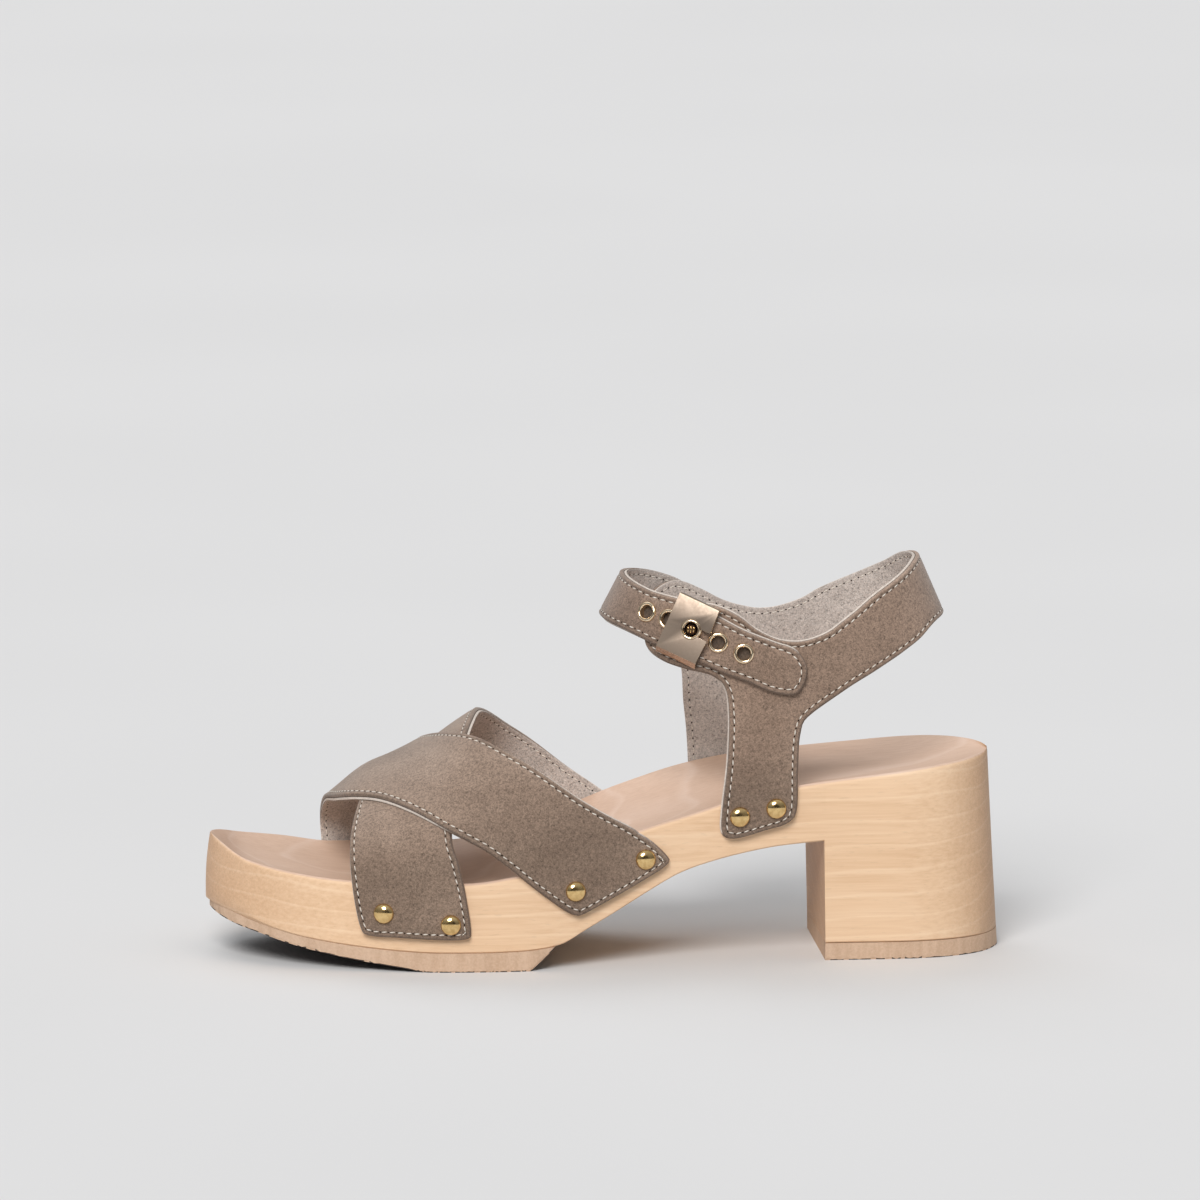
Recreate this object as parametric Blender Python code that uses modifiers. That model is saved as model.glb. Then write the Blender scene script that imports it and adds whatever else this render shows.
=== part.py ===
"""Wooden sole sandal for the left foot: a carved block sole, crossed suede straps and a buckled ankle strap.

Metres, +Z up, toe at -X, heel at +X, outer side with the buckle at -Y, standing on Z = 0.
Plan and strap outlines are laid out from the toe tip and moved at the end, so that the
origin lies under the middle of the shoe.
"""

import math

import bmesh
import bpy
import numpy as np
from mathutils import Matrix, Vector

# Driving sizes
SOLE_LENGTH = 0.245
BALL_WIDTH = 0.084
HEEL_HEIGHT = 0.062
BREAST_HEIGHT = 0.0376
BREAST_PLACE = 0.7694 * SOLE_LENGTH
HEEL_FLARE = 0.0035
HEEL_TAPER = 0.003
TOE_SPRING = 0.0145
TOE_SETBACK = 0.0015
TOE_ROUND = 0.253 * SOLE_LENGTH
HEEL_ROUND = 0.1388 * SOLE_LENGTH
RIM_ROUND = 0.0013
FOOTBED_DEPTH = 0.0035
RUBBER = 0.0059
RUBBER_SETBACK = 0.0018
RUBBER_TRIM = 0.0005
RUBBER_END = 0.4122 * SOLE_LENGTH
RUBBER_BEVEL = 0.0042
LIFT = 0.0054
INSTEP_HEIGHT = 0.080
VAMP_GIRTH = 0.120
LEATHER = 0.0022
CROSSING_JOIN = 0.0007
CROSSING_RAMP = 0.008
ANKLE_LENGTH = 0.3437 * SOLE_LENGTH
ANKLE_WIDTH = 0.6333 * BALL_WIDTH
ANKLE_PLACE = 0.7212 * SOLE_LENGTH
ANKLE_TOP = 0.120
ANKLE_SHIFT = 0.0008
FRONT_LEAN = 0.526
BACK_LEAN = 0.433
GAP = 0.0003

# Shapes of the rounded plans and arches, as powers of an oval: 2 is an ellipse, more is squarer
TOE_POWER = 2.0
HEEL_POWER = 2.3
ARCH_POWER = 2.15
ANKLE_POWER = 2.3

# Where changes along the sole start and how far they run, as shares of its length
TAPER_START, TAPER_RUN = 0.49, 0.28
FLARE_START, FLARE_RUN = 0.80, 0.17
TUCK_RUN = 0.05
STRAPS_APART = 0.60

# The toe's foremost point as a share of its height, and the most of a half width that an edge takes
TOE_NOSE = 0.55
NARROWEST = 0.3

# Ankle, as shares of its top: how it spreads downwards, where that starts, where it stands free of the wood
ANKLE_SPREAD = 0.2
SPREAD_START = 0.1
ANKLE_FREE = 0.72

# Small metal parts
TACK_HEAD = 0.0063
TACK_RISE = 0.0016
TACK_SHANK = 0.0018
TACK_DEPTH = 0.0060
EYELET_FLANGE = 0.0059
EYELET_HOLE = 0.0039
EYELET_RISE = 0.0006
EYELET_WALL = 0.0003
PLATE_LONG = 0.0128
PLATE_ACROSS = 0.15 * ANKLE_TOP
PLATE_LIP = 0.0018
PLATE_FORWARD = 0.0013
PLATE_THICK = 0.0008
PLATE_HOLE = 0.0046
PLATE_RING = 0.0008
PLATE_SLOT = 0.0026
PRONG = 0.0028

# Turned profiles. Columns: radius and height, as shares of the head or of the rim
TACK_DOME = ((0.0, 1.0), (0.45, 0.88), (0.8, 0.5), (1.0, 0.0))
EYELET_RIM = ((0.0, 0.6), (0.5, 1.0), (1.0, 0.4))

# Fineness of the faceted straps
VAMP_CUT = 0.0055
ANKLE_CUT = 7.0
ANKLE_CUT_UP = 0.009
TOE_STEPS = 10
WAIST_STEPS = 20
HEEL_STEPS = 9
FOOTBED_ACROSS = (0.04, 0.1, 0.2, 0.35, 0.5, 0.65, 0.8, 0.9, 0.96)

# Sole plan. Columns: place as a share of the length, centre line, half width, both as shares of the ball width
PLAN = (
    (0.000, 0.095, 0.458),
    (0.184, 0.060, 0.476),
    (0.294, 0.036, 0.500),
    (0.396, 0.006, 0.470),
    (0.571, -0.018, 0.381),
    (0.714, -0.006, 0.369),
    (0.837, 0.000, 0.369),
    (1.000, 0.000, 0.363),
)

# Footbed rim. Columns: place, outer rim height, inner rim height, both as shares of the heel height
RIM = (
    (0.000, 0.594, 0.590),
    (0.049, 0.511, 0.532),
    (0.102, 0.473, 0.490),
    (0.171, 0.450, 0.442),
    (0.314, 0.444, 0.435),
    (0.376, 0.474, 0.484),
    (0.449, 0.568, 0.597),
    (0.535, 0.684, 0.747),
    (0.612, 0.773, 0.847),
    (0.673, 0.845, 0.894),
    (0.735, 0.889, 0.919),
    (0.837, 0.939, 0.952),
    (0.939, 0.985, 0.984),
    (1.000, 1.000, 0.994),
)

# Footbed dish. Columns: place, depth as a share of the footbed depth
DISH = (
    (0.00, 0.0),
    (0.08, 0.6),
    (0.30, 1.0),
    (0.50, 0.7),
    (0.70, 0.8),
    (0.88, 1.1),
    (1.00, 0.1),
)

# Underside of the wood. Columns: place, rise as a share of the breast height above the rubber
UNDERSIDE = (
    (0.000, 0.331),
    (0.027, 0.284),
    (0.050, 0.230),
    (0.086, 0.158),
    (0.110, 0.120),
    (0.171, 0.057),
    (0.233, 0.016),
    (0.280, 0.000),
    (0.335, 0.000),
    (0.384, 0.009),
    (0.408, 0.025),
    (0.433, 0.062),
    (0.467, 0.202),
    (0.509, 0.385),
    (0.547, 0.558),
    (0.585, 0.719),
    (0.611, 0.792),
    (0.661, 0.890),
    (0.712, 0.959),
    (0.770, 1.000),
)

# Tread under the forefoot. Columns: place, height as a share of the toe spring
TREAD = (
    (0.000, 1.000),
    (0.017, 0.862),
    (0.038, 0.745),
    (0.061, 0.655),
    (0.098, 0.490),
    (0.147, 0.317),
    (0.184, 0.214),
    (0.233, 0.092),
    (0.272, 0.000),
    (1.000, 0.000),
)

# Where the vamp straps turn from upright to arch. Columns: place, height as a share of the heel height
SPRING = (
    (0.082, 0.435),
    (0.147, 0.468),
    (0.245, 0.516),
    (0.347, 0.565),
    (0.449, 0.613),
    (0.571, 0.710),
)

# Crest of the vamp, inside. Columns: place, height as a share of the instep height
CREST = (
    (0.082, 0.412),
    (0.150, 0.542),
    (0.169, 0.581),
    (0.207, 0.652),
    (0.245, 0.702),
    (0.285, 0.769),
    (0.302, 0.810),
    (0.326, 0.866),
    (0.346, 0.907),
    (0.408, 1.000),
    (0.490, 1.100),
)

# Vamp strap outlines. Columns: place, way over the foot from the outer side as a share of the girth
STRAP_OVER = (
    (0.451, -0.174),
    (0.435, -0.152),
    (0.394, -0.077),
    (0.356, -0.004),
    (0.297, 0.090),
    (0.236, 0.235),
    (0.191, 0.350),
    (0.170, 0.445),
    (0.159, 0.560),
    (0.155, 0.780),
    (0.154, 0.910),
    (0.156, 1.020),
    (0.166, 1.125),
    (0.179, 1.168),
    (0.235, 1.185),
    (0.294, 1.200),
    (0.305, 1.178),
    (0.297, 1.080),
    (0.284, 0.940),
    (0.279, 0.790),
    (0.283, 0.640),
    (0.301, 0.500),
    (0.327, 0.385),
    (0.373, 0.257),
    (0.433, 0.135),
    (0.482, 0.060),
    (0.533, 0.000),
    (0.566, -0.070),
    (0.569, -0.100),
    (0.534, -0.130),
    (0.483, -0.163),
    (0.460, -0.177),
)

STRAP_UNDER = (
    (0.184, -0.136),
    (0.175, -0.040),
    (0.172, 0.060),
    (0.176, 0.200),
    (0.190, 0.346),
    (0.208, 0.480),
    (0.228, 0.620),
    (0.250, 0.745),
    (0.276, 0.825),
    (0.309, 0.905),
    (0.343, 0.975),
    (0.370, 1.010),
    (0.404, 1.070),
    (0.444, 1.150),
    (0.460, 1.174),
    (0.490, 1.163),
    (0.535, 1.130),
    (0.570, 1.100),
    (0.569, 1.080),
    (0.540, 1.015),
    (0.508, 0.982),
    (0.458, 0.912),
    (0.408, 0.815),
    (0.380, 0.740),
    (0.358, 0.640),
    (0.343, 0.520),
    (0.326, 0.395),
    (0.303, 0.200),
    (0.298, 0.073),
    (0.306, 0.000),
    (0.314, -0.076),
    (0.321, -0.178),
    (0.314, -0.196),
    (0.282, -0.190),
    (0.232, -0.173),
    (0.195, -0.160),
)

# Ankle outlines. Columns: degrees round the ankle from the back, height as a share of its top
QUARTER_OUTER = (
    (9.0, 1.018),
    (29.5, 1.000),
    (54.5, 0.950),
    (70.0, 0.890),
    (79.0, 0.850),
    (88.0, 0.833),
    (96.0, 0.858),
    (105.0, 0.903),
    (116.0, 0.928),
    (130.0, 0.922),
    (138.5, 0.893),
    (142.0, 0.848),
    (138.0, 0.808),
    (129.0, 0.779),
    (119.0, 0.760),
    (109.5, 0.745),
    (104.6, 0.711),
    (102.3, 0.640),
    (101.0, 0.525),
    (100.6, 0.410),
    (99.8, 0.345),
    (97.0, 0.327),
    (91.8, 0.345),
    (88.0, 0.368),
    (86.8, 0.405),
    (86.7, 0.500),
    (86.2, 0.595),
    (83.8, 0.643),
    (73.0, 0.707),
    (62.2, 0.750),
    (53.0, 0.780),
    (41.0, 0.812),
    (20.0, 0.854),
)

QUARTER_INNER = (
    (20.0, 1.010),
    (41.8, 0.973),
    (59.8, 0.935),
    (73.2, 0.900),
    (80.5, 0.870),
    (90.0, 0.846),
    (97.2, 0.854),
    (104.5, 0.873),
    (113.2, 0.902),
    (124.0, 0.926),
    (132.0, 0.920),
    (137.0, 0.895),
    (137.0, 0.855),
    (132.0, 0.825),
    (124.0, 0.795),
    (117.0, 0.755),
    (112.2, 0.690),
    (109.0, 0.604),
    (106.2, 0.523),
    (104.0, 0.430),
    (103.0, 0.350),
    (101.0, 0.327),
    (95.0, 0.340),
    (88.5, 0.362),
    (86.8, 0.405),
    (86.7, 0.500),
    (86.2, 0.595),
    (83.8, 0.643),
    (73.0, 0.707),
    (62.2, 0.750),
    (53.0, 0.780),
    (41.0, 0.812),
    (20.0, 0.854),
)

BUCKLE_STRAP = (
    (84.6, 0.768),
    (85.4, 0.722),
    (88.0, 0.694),
    (92.5, 0.703),
    (98.0, 0.727),
    (106.5, 0.753),
    (115.0, 0.779),
    (123.0, 0.797),
    (131.5, 0.811),
    (141.5, 0.829),
    (155.0, 0.843),
    (172.0, 0.849),
    (188.0, 0.849),
    (203.0, 0.845),
    (214.0, 0.838),
    (225.0, 0.826),
    (235.0, 0.808),
    (241.5, 0.796),
    (243.5, 0.808),
    (243.8, 0.860),
    (243.0, 0.893),
    (238.0, 0.922),
    (227.0, 0.943),
    (214.0, 0.957),
    (200.0, 0.963),
    (186.0, 0.965),
    (170.0, 0.963),
    (156.0, 0.956),
    (145.5, 0.948),
    (136.5, 0.943),
    (129.0, 0.937),
    (119.5, 0.920),
    (110.0, 0.893),
    (101.5, 0.864),
    (93.5, 0.838),
    (87.5, 0.812),
)

# Tacks. Columns: place, height as a share of the heel height
TACKS_OUTER = (
    (0.212, 0.300),
    (0.295, 0.247),
    (0.452, 0.402),
    (0.541, 0.547),
    (0.660, 0.747),
    (0.706, 0.785),
)

TACKS_INNER = (
    (0.198, 0.298),
    (0.278, 0.247),
    (0.456, 0.402),
    (0.545, 0.547),
    (0.636, 0.747),
    (0.690, 0.785),
)

# Eyelets. Columns: degrees round the ankle by the outer side, height as a share of the ankle top
EYELETS = (
    (142.0, 0.892),
    (130.6, 0.881),
    (119.8, 0.860),
    (109.3, 0.830),
    (100.6, 0.803),
)
BUCKLE_EYELET = 2

# Finishes. Columns: colour, roughness, metallic
FINISHES = {
    "wood": ((0.76, 0.56, 0.37), 0.55, 0.0),
    "rubber": ((0.60, 0.40, 0.27), 0.75, 0.0),
    "suede": ((0.20, 0.145, 0.115), 0.95, 0.0),
    "brass": ((0.72, 0.50, 0.24), 0.30, 1.0),
    "pale_gold": ((0.80, 0.66, 0.48), 0.25, 1.0),
}


def interpolated(rows, column, place):
    """The column's value at a place, on a smooth curve that never overshoots its rows."""
    x = [row[0] for row in rows]
    y = [row[column] for row in rows]
    place = min(max(place, x[0]), x[-1])
    steps = [b - a for a, b in zip(x, x[1:])]
    slopes = [(d - c) / step for c, d, step in zip(y, y[1:], steps)]
    index = max(i for i in range(len(steps)) if place >= x[i])

    def tangent(at):
        if at == 0 or at == len(steps):
            return slopes[min(at, len(steps) - 1)]
        before, after = slopes[at - 1], slopes[at]
        if before * after <= 0:
            return 0.0
        return 2 * before * after / (before + after)

    step = steps[index]
    t = (place - x[index]) / step
    start = y[index] * (1 + 2 * t) * (1 - t) ** 2 + y[index + 1] * t * t * (3 - 2 * t)
    return start + step * (tangent(index) * t * (1 - t) ** 2 - tangent(index + 1) * t * t * (1 - t))


def eased(t):
    """0 to 1 with flat ends."""
    t = min(max(t, 0.0), 1.0)
    return t * t * (3 - 2 * t)


# Sole functions, all by the place s from the toe tip


def rounding(distance, radius, power):
    t = min(max(distance / radius, 0.0), 1.0)
    return (1 - (1 - t) ** power) ** (1 / power)


def plan_centre(s):
    return BALL_WIDTH * interpolated(PLAN, 1, s / SOLE_LENGTH)


def plan_half(s, setback=0.0):
    full = BALL_WIDTH * interpolated(PLAN, 2, s / SOLE_LENGTH)
    toe = rounding(s - setback, TOE_ROUND - setback, TOE_POWER)
    heel = rounding(SOLE_LENGTH - HEEL_FLARE - s, HEEL_ROUND, HEEL_POWER)
    return full * toe * heel


def rim_height(s, side):
    return HEEL_HEIGHT * interpolated(RIM, 1 if side < 0 else 2, s / SOLE_LENGTH)


def wood_side(s, z, side):
    """Y of the wood's side at a height; the heel block narrows towards the floor."""
    rim = rim_height(s, side)
    taper = HEEL_TAPER * eased((s / SOLE_LENGTH - TAPER_START) / TAPER_RUN) * max(rim - z, 0.0) / rim
    return plan_centre(s) + side * (plan_half(s) - min(taper, plan_half(s) * NARROWEST))


def wood_underside(s):
    if s > BREAST_PLACE:
        return LIFT + GAP
    return RUBBER + GAP + (BREAST_HEIGHT - RUBBER) * interpolated(UNDERSIDE, 1, s / SOLE_LENGTH)


def tread_height(s):
    """The rubber's lower face: toe spring in front, flat under the ball, cut off at a slant behind."""
    slant = max(s - RUBBER_END + RUBBER_BEVEL, 0.0)
    return TOE_SPRING * interpolated(TREAD, 1, s / SOLE_LENGTH) + slant


def along(s, z):
    """X before centring: the toe's upper edge is set back and the heel flares towards the floor."""
    nose = TOE_NOSE * rim_height(0.0, -1)
    upper = max(z - nose, 0.0) / (rim_height(s, -1) - nose)
    setback = TOE_SETBACK * (1 - eased(s / (SOLE_LENGTH * TUCK_RUN))) * upper**2
    reach = eased((s / SOLE_LENGTH - FLARE_START) / FLARE_RUN)
    return s + setback + HEEL_FLARE * reach * (1 - min(z, HEEL_HEIGHT) / HEEL_HEIGHT)


def round_end(start, radius, steps, sign):
    """Places that follow a round end, close together at its tip, which is cut off just short of its point."""
    first = 0.45
    angles = [math.pi / 2 * max(k, first) / steps for k in range(steps)]
    return [start + sign * radius * (1 - math.cos(angle)) for angle in angles]


def spaced(first, last, count):
    return [first + (last - first) * k / count for k in range(count + 1)]


# Mesh helpers


def new_object(name, bm, finish, collection):
    mesh = bpy.data.meshes.new(name)
    bmesh.ops.recalc_face_normals(bm, faces=bm.faces)
    bm.to_mesh(mesh)
    bm.free()
    obj = bpy.data.objects.new(name, mesh)
    collection.objects.link(obj)
    if finish:
        mesh.materials.append(material(finish))
    mesh.shade_smooth()
    mesh.set_sharp_from_angle(angle=math.radians(35))
    return obj


def material(name):
    found = bpy.data.materials.get(name)
    if found:
        return found
    colour, roughness, metallic = FINISHES[name]
    made = bpy.data.materials.new(name)
    made.use_nodes = True
    shader = made.node_tree.nodes["Principled BSDF"]
    shader.inputs["Base Color"].default_value = (*colour, 1.0)
    shader.inputs["Roughness"].default_value = roughness
    shader.inputs["Metallic"].default_value = metallic
    return made


def loft(sections):
    """A closed body through rings of as many points each, which run up one side and down the other."""
    bm = bmesh.new()
    rings = [[bm.verts.new(point) for point in section] for section in sections]
    count = len(rings[0])
    for ring, following in zip(rings, rings[1:]):
        for i in range(count):
            j = (i + 1) % count
            bm.faces.new((ring[i], ring[j], following[j], following[i]))
    for ring in (rings[0], rings[-1]):
        for i in range((count - 1) // 2):
            corners = (ring[i], ring[i + 1], ring[count - 2 - i], ring[count - 1 - i])
            bm.faces.new(list(dict.fromkeys(corners)))
    return bm


def smooth_outline(points, per_span=2):
    """A closed outline through the points, rounded between them."""
    count = len(points)
    result = []
    for i in range(count):
        a, b, c, d = (np.array(points[(i + k) % count]) for k in (-1, 0, 1, 2))
        for k in range(per_span):
            t = k / per_span
            square = 2 * a - 5 * b + 4 * c - d
            cube = 3 * b - a - 3 * c + d
            result.append(0.5 * (2 * b + (c - a) * t + square * t**2 + cube * t**3))
    return result


def sheet(outline, cuts_u, cuts_v):
    """The flat pattern as one face, cut across so that it can bend, then doubled to two skins."""
    bm = bmesh.new()
    bm.faces.new([bm.verts.new((u, v, 0.0)) for u, v in outline])
    for axis, cuts in ((0, cuts_u), (1, cuts_v)):
        normal = Vector((1, 0, 0)) if axis == 0 else Vector((0, 1, 0))
        for cut in cuts:
            geometry = bm.verts[:] + bm.edges[:] + bm.faces[:]
            bmesh.ops.bisect_plane(bm, geom=geometry, dist=1e-7, plane_co=normal * cut, plane_no=normal)
    doubled = bmesh.ops.extrude_face_region(bm, geom=bm.faces[:], use_keep_orig=True)
    outer = [item for item in doubled["geom"] if isinstance(item, bmesh.types.BMVert)]
    bmesh.ops.translate(bm, verts=outer, vec=(0, 0, 1))
    return bm


def wrapped(bm, place):
    """Moves a flat pattern to its place on the foot; its Z is 0 on the inner skin and 1 on the outer."""
    for vert in bm.verts:
        vert.co = place(vert.co.x, vert.co.y, vert.co.z)
    return bm


def lifted(surface, u, v, height, steps):
    """A point at a height over a surface, along its normal."""
    du, dv = steps
    point = surface(u, v)
    normal = (surface(u + du, v) - surface(u - du, v)).cross(surface(u, v + dv) - surface(u, v - dv))
    return point + normal.normalized() * height


# Foot surfaces


def vamp_surface(s, way):
    """The inside of the vamp: upright beside the wood, then an arch over the foot."""
    outer, inner = plan_centre(s) - plan_half(s) - GAP, plan_centre(s) + plan_half(s) + GAP
    spring = HEEL_HEIGHT * interpolated(SPRING, 1, s / SOLE_LENGTH)
    crest = INSTEP_HEIGHT * interpolated(CREST, 1, s / SOLE_LENGTH)
    if way < 0:
        return Vector((s, outer, spring + way))
    if way > VAMP_GIRTH:
        return Vector((s, inner, spring - way + VAMP_GIRTH))
    angle = math.pi * way / VAMP_GIRTH
    power = 2 / ARCH_POWER
    across = math.copysign(abs(math.cos(angle)) ** power, math.cos(angle))
    y = (outer + inner) / 2 - (inner - outer) / 2 * across
    return Vector((s, y, spring + (crest - spring) * math.sin(angle) ** power))


def vamp_point(s, way, height):
    return lifted(vamp_surface, s, way, height, (0.0004, 0.0004))


def ankle_surface(turn, z):
    """The inside of the quarter: an oval that flares downwards, drawn in to the wood's sides below."""
    front = ANKLE_PLACE - ANKLE_LENGTH / 2 - FRONT_LEAN * (ANKLE_TOP - z)
    back = ANKLE_PLACE + ANKLE_LENGTH / 2 + BACK_LEAN * (ANKLE_TOP - z)
    angle = math.radians(turn)
    power = 2 / ANKLE_POWER
    c, d = math.cos(angle), math.sin(angle)
    x = (front + back) / 2 + (back - front) / 2 * math.copysign(abs(c) ** power, c)
    side = -1 if d > 0 else 1
    low = max((ANKLE_TOP - z) / ANKLE_TOP - SPREAD_START, 0.0)
    half = ANKLE_WIDTH * (0.5 + ANKLE_SPREAD * low)
    y = side * half * abs(d) ** power - ANKLE_SHIFT
    rim = rim_height(x, side)
    beside = wood_side(x, min(z, rim), side) + side * GAP
    share = eased((z - rim) / (ANKLE_FREE * ANKLE_TOP - rim))
    return Vector((x, beside + (y - beside) * share, z))


def ankle_point(turn, z, height):
    return lifted(ankle_surface, turn, z, height, (-0.5, 0.0004))


# Sole


def make_wood_sole(collection):
    places = round_end(0.0, TOE_ROUND, TOE_STEPS, 1)
    places += spaced(TOE_ROUND, BREAST_PLACE - GAP, WAIST_STEPS)
    places += [BREAST_PLACE + GAP]
    heel_end = SOLE_LENGTH - HEEL_FLARE
    places += spaced(BREAST_PLACE + GAP, heel_end - HEEL_ROUND, 4)[1:]
    places += round_end(heel_end, HEEL_ROUND, HEEL_STEPS, -1)[::-1]
    sections = []
    for s in places:
        under = wood_underside(s)
        ring = []
        for side in (-1, 1):
            rim = rim_height(s, side)
            edge = min(RIM_ROUND, plan_half(s) * NARROWEST)
            flank = [(wood_side(s, z, side), z) for z in (under, (under + rim) / 2, rim - edge)]
            wall = flank[-1][0]
            corner = edge * (1 - math.cos(math.radians(45)))
            flank += [(wall - side * corner, rim - corner), (wall - side * edge, rim)]
            ring.append(flank)
        outer, inner = ring
        depth = FOOTBED_DEPTH * interpolated(DISH, 1, s / SOLE_LENGTH)
        bed = []
        for share in FOOTBED_ACROSS:
            y = outer[-1][0] + (inner[-1][0] - outer[-1][0]) * share
            z = outer[-1][1] + (inner[-1][1] - outer[-1][1]) * share
            bed.append((y, z - depth * (1 - abs(2 * share - 1) ** 3)))
        profile = outer + bed + inner[::-1]
        sections.append([(along(s, z), y, z) for y, z in profile])
    return new_object("wood_sole", loft(sections), "wood", collection)


def make_slab(name, places, top, bottom, trim, setback, collection):
    """A rubber layer between two heights, its lower edge trimmed in."""
    sections = []
    for s in places:
        ring = []
        upper, lower = (top(s), GAP), (bottom(s), trim)
        for side, (z, inset) in ((-1, upper), (-1, lower), (1, lower), (1, upper)):
            taper = abs(wood_side(s, z, side) - plan_centre(s)) - plan_half(s)
            half = plan_half(s, setback)
            half = max(half + taper - inset, half * (1 - NARROWEST))
            ring.append((along(s, z), plan_centre(s) + side * half, z))
        sections.append(ring)
    return new_object(name, loft(sections), "rubber", collection)


def make_rubber(collection):
    front = round_end(RUBBER_SETBACK, TOE_ROUND - RUBBER_SETBACK, TOE_STEPS, 1)
    places = front + spaced(TOE_ROUND, RUBBER_END - RUBBER_BEVEL, 6) + [RUBBER_END]
    make_slab(
        "outsole_forefoot",
        places,
        lambda s: wood_underside(s) - GAP,
        tread_height,
        RUBBER_TRIM,
        RUBBER_SETBACK,
        collection,
    )
    heel_end = SOLE_LENGTH - HEEL_FLARE
    places = spaced(BREAST_PLACE + GAP, heel_end - HEEL_ROUND, 4)
    places += round_end(heel_end, HEEL_ROUND, HEEL_STEPS, -1)[::-1]
    make_slab("heel_lift", places, lambda s: LIFT, lambda s: 0.0, RUBBER_TRIM, 0.0, collection)


# Straps


def cuts_between(outline, axis, step):
    values = [point[axis] for point in outline]
    count = int((max(values) - min(values)) / step)
    return [min(values) + (max(values) - min(values)) * (k + 0.5) / count for k in range(count)]


def distance_outside(point, outline):
    """How far a point of the flat pattern lies outside an outline, 0 within it."""
    a = np.array(outline)
    b = np.roll(a, -1, axis=0)
    p = np.array(point)
    crossing = (a[:, 1] > p[1]) != (b[:, 1] > p[1])
    rise = np.where(crossing, b[:, 1] - a[:, 1], 1.0)
    at = a[:, 0] + (p[1] - a[:, 1]) * (b[:, 0] - a[:, 0]) / rise
    if np.count_nonzero(crossing & (p[0] < at)) % 2:
        return 0.0
    edge = b - a
    t = np.clip(((p - a) * edge).sum(axis=1) / (edge * edge).sum(axis=1), 0, 1)
    return float(np.sqrt((((a + edge * t[:, None]) - p) ** 2).sum(axis=1).min()))


def flat_vamp(rows):
    return smooth_outline([(place * SOLE_LENGTH, way * VAMP_GIRTH) for place, way in rows])


def make_vamp_straps(collection, cutters):
    under = flat_vamp(STRAP_UNDER)
    over = flat_vamp(STRAP_OVER)

    def vamp_sheet(outline, place):
        bm = sheet(outline, cuts_between(outline, 0, VAMP_CUT), cuts_between(outline, 1, VAMP_CUT))
        return wrapped(bm, place)

    def riding(s, way, skin):
        lift = eased(1 - distance_outside((s, way), under) / CROSSING_RAMP)
        return vamp_point(s, way, (LEATHER - CROSSING_JOIN) * lift + LEATHER * skin)

    lower = vamp_sheet(under, lambda s, way, skin: vamp_point(s, way, LEATHER * skin))
    vamp = new_object("vamp_straps", lower, "suede", collection)
    upper = new_object("strap_over_tool", vamp_sheet(over, riding), None, cutters)
    boolean(vamp, upper, "UNION")
    return vamp


def flat_ankle(rows):
    return smooth_outline([(turn, share * ANKLE_TOP) for turn, share in rows])


def make_quarter(collection):
    inner = [(-turn, share) for turn, share in reversed(QUARTER_INNER)]
    outline = flat_ankle(list(QUARTER_OUTER) + inner)
    bm = sheet(outline, cuts_between(outline, 0, ANKLE_CUT), cuts_between(outline, 1, ANKLE_CUT_UP))
    bm = wrapped(bm, lambda turn, z, skin: ankle_point(turn, z, LEATHER * skin))
    return new_object("ankle_quarter", bm, "suede", collection)


def make_buckle_strap(collection):
    outline = flat_ankle(BUCKLE_STRAP)
    bm = sheet(outline, cuts_between(outline, 0, ANKLE_CUT), cuts_between(outline, 1, ANKLE_CUT_UP))
    bm = wrapped(bm, lambda turn, z, skin: ankle_point(turn, z, LEATHER + GAP + LEATHER * skin))
    return new_object("buckle_strap", bm, "suede", collection)


# Metal parts


def boolean(target, tool, operation):
    modifier = target.modifiers.new(tool.name, "BOOLEAN")
    modifier.operation = operation
    modifier.object = tool


def turned(name, profile, steps, finish, collection):
    """A shape turned about Z from a profile that runs down its outer side."""
    mesh = bpy.data.meshes.new(name)
    closed = profile[0] == profile[-1]
    points = profile[:-1] if closed else profile
    edges = [(i, (i + 1) % len(points)) for i in range(len(profile) - 1)]
    mesh.from_pydata([(r, 0.0, z) for r, z in points], edges, [])
    mesh.materials.append(material(finish))
    obj = bpy.data.objects.new(name, mesh)
    collection.objects.link(obj)
    screw = obj.modifiers.new("turn", "SCREW")
    screw.steps = steps
    screw.render_steps = steps
    screw.use_merge_vertices = True
    screw.merge_threshold = 0.00001
    return obj


def aimed(point, normal, right):
    """A placing at a point with Z along the normal and X near a direction."""
    z = normal.normalized()
    y = z.cross(right).normalized()
    x = y.cross(z)
    placing = Matrix((x, y, z)).transposed().to_4x4()
    placing.translation = point
    return placing


def cylinder(bm, radius, bottom, top, placing, segments):
    bmesh.ops.create_cone(
        bm,
        cap_ends=True,
        segments=segments,
        radius1=radius,
        radius2=radius,
        depth=top - bottom,
        matrix=placing @ Matrix.Translation((0, 0, (top + bottom) / 2)),
    )


def tack_placing(place, height, side):
    """On the outside of the leather beside the sole, its Z outward."""
    s, z = place * SOLE_LENGTH, height * HEEL_HEIGHT
    step = 0.001

    def leather(at):
        if at < STRAPS_APART * SOLE_LENGTH:
            return plan_centre(at) + side * (plan_half(at) + GAP + LEATHER)
        return wood_side(at, z, side) + side * (GAP + LEATHER)

    slope = (leather(s + step) - leather(s - step)) / (2 * step)
    normal = Vector((-side * slope, side, 0.0))
    return aimed(Vector((s, leather(s), z)) + normal.normalized() * GAP, normal, Vector((0, 0, 1)))


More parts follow.
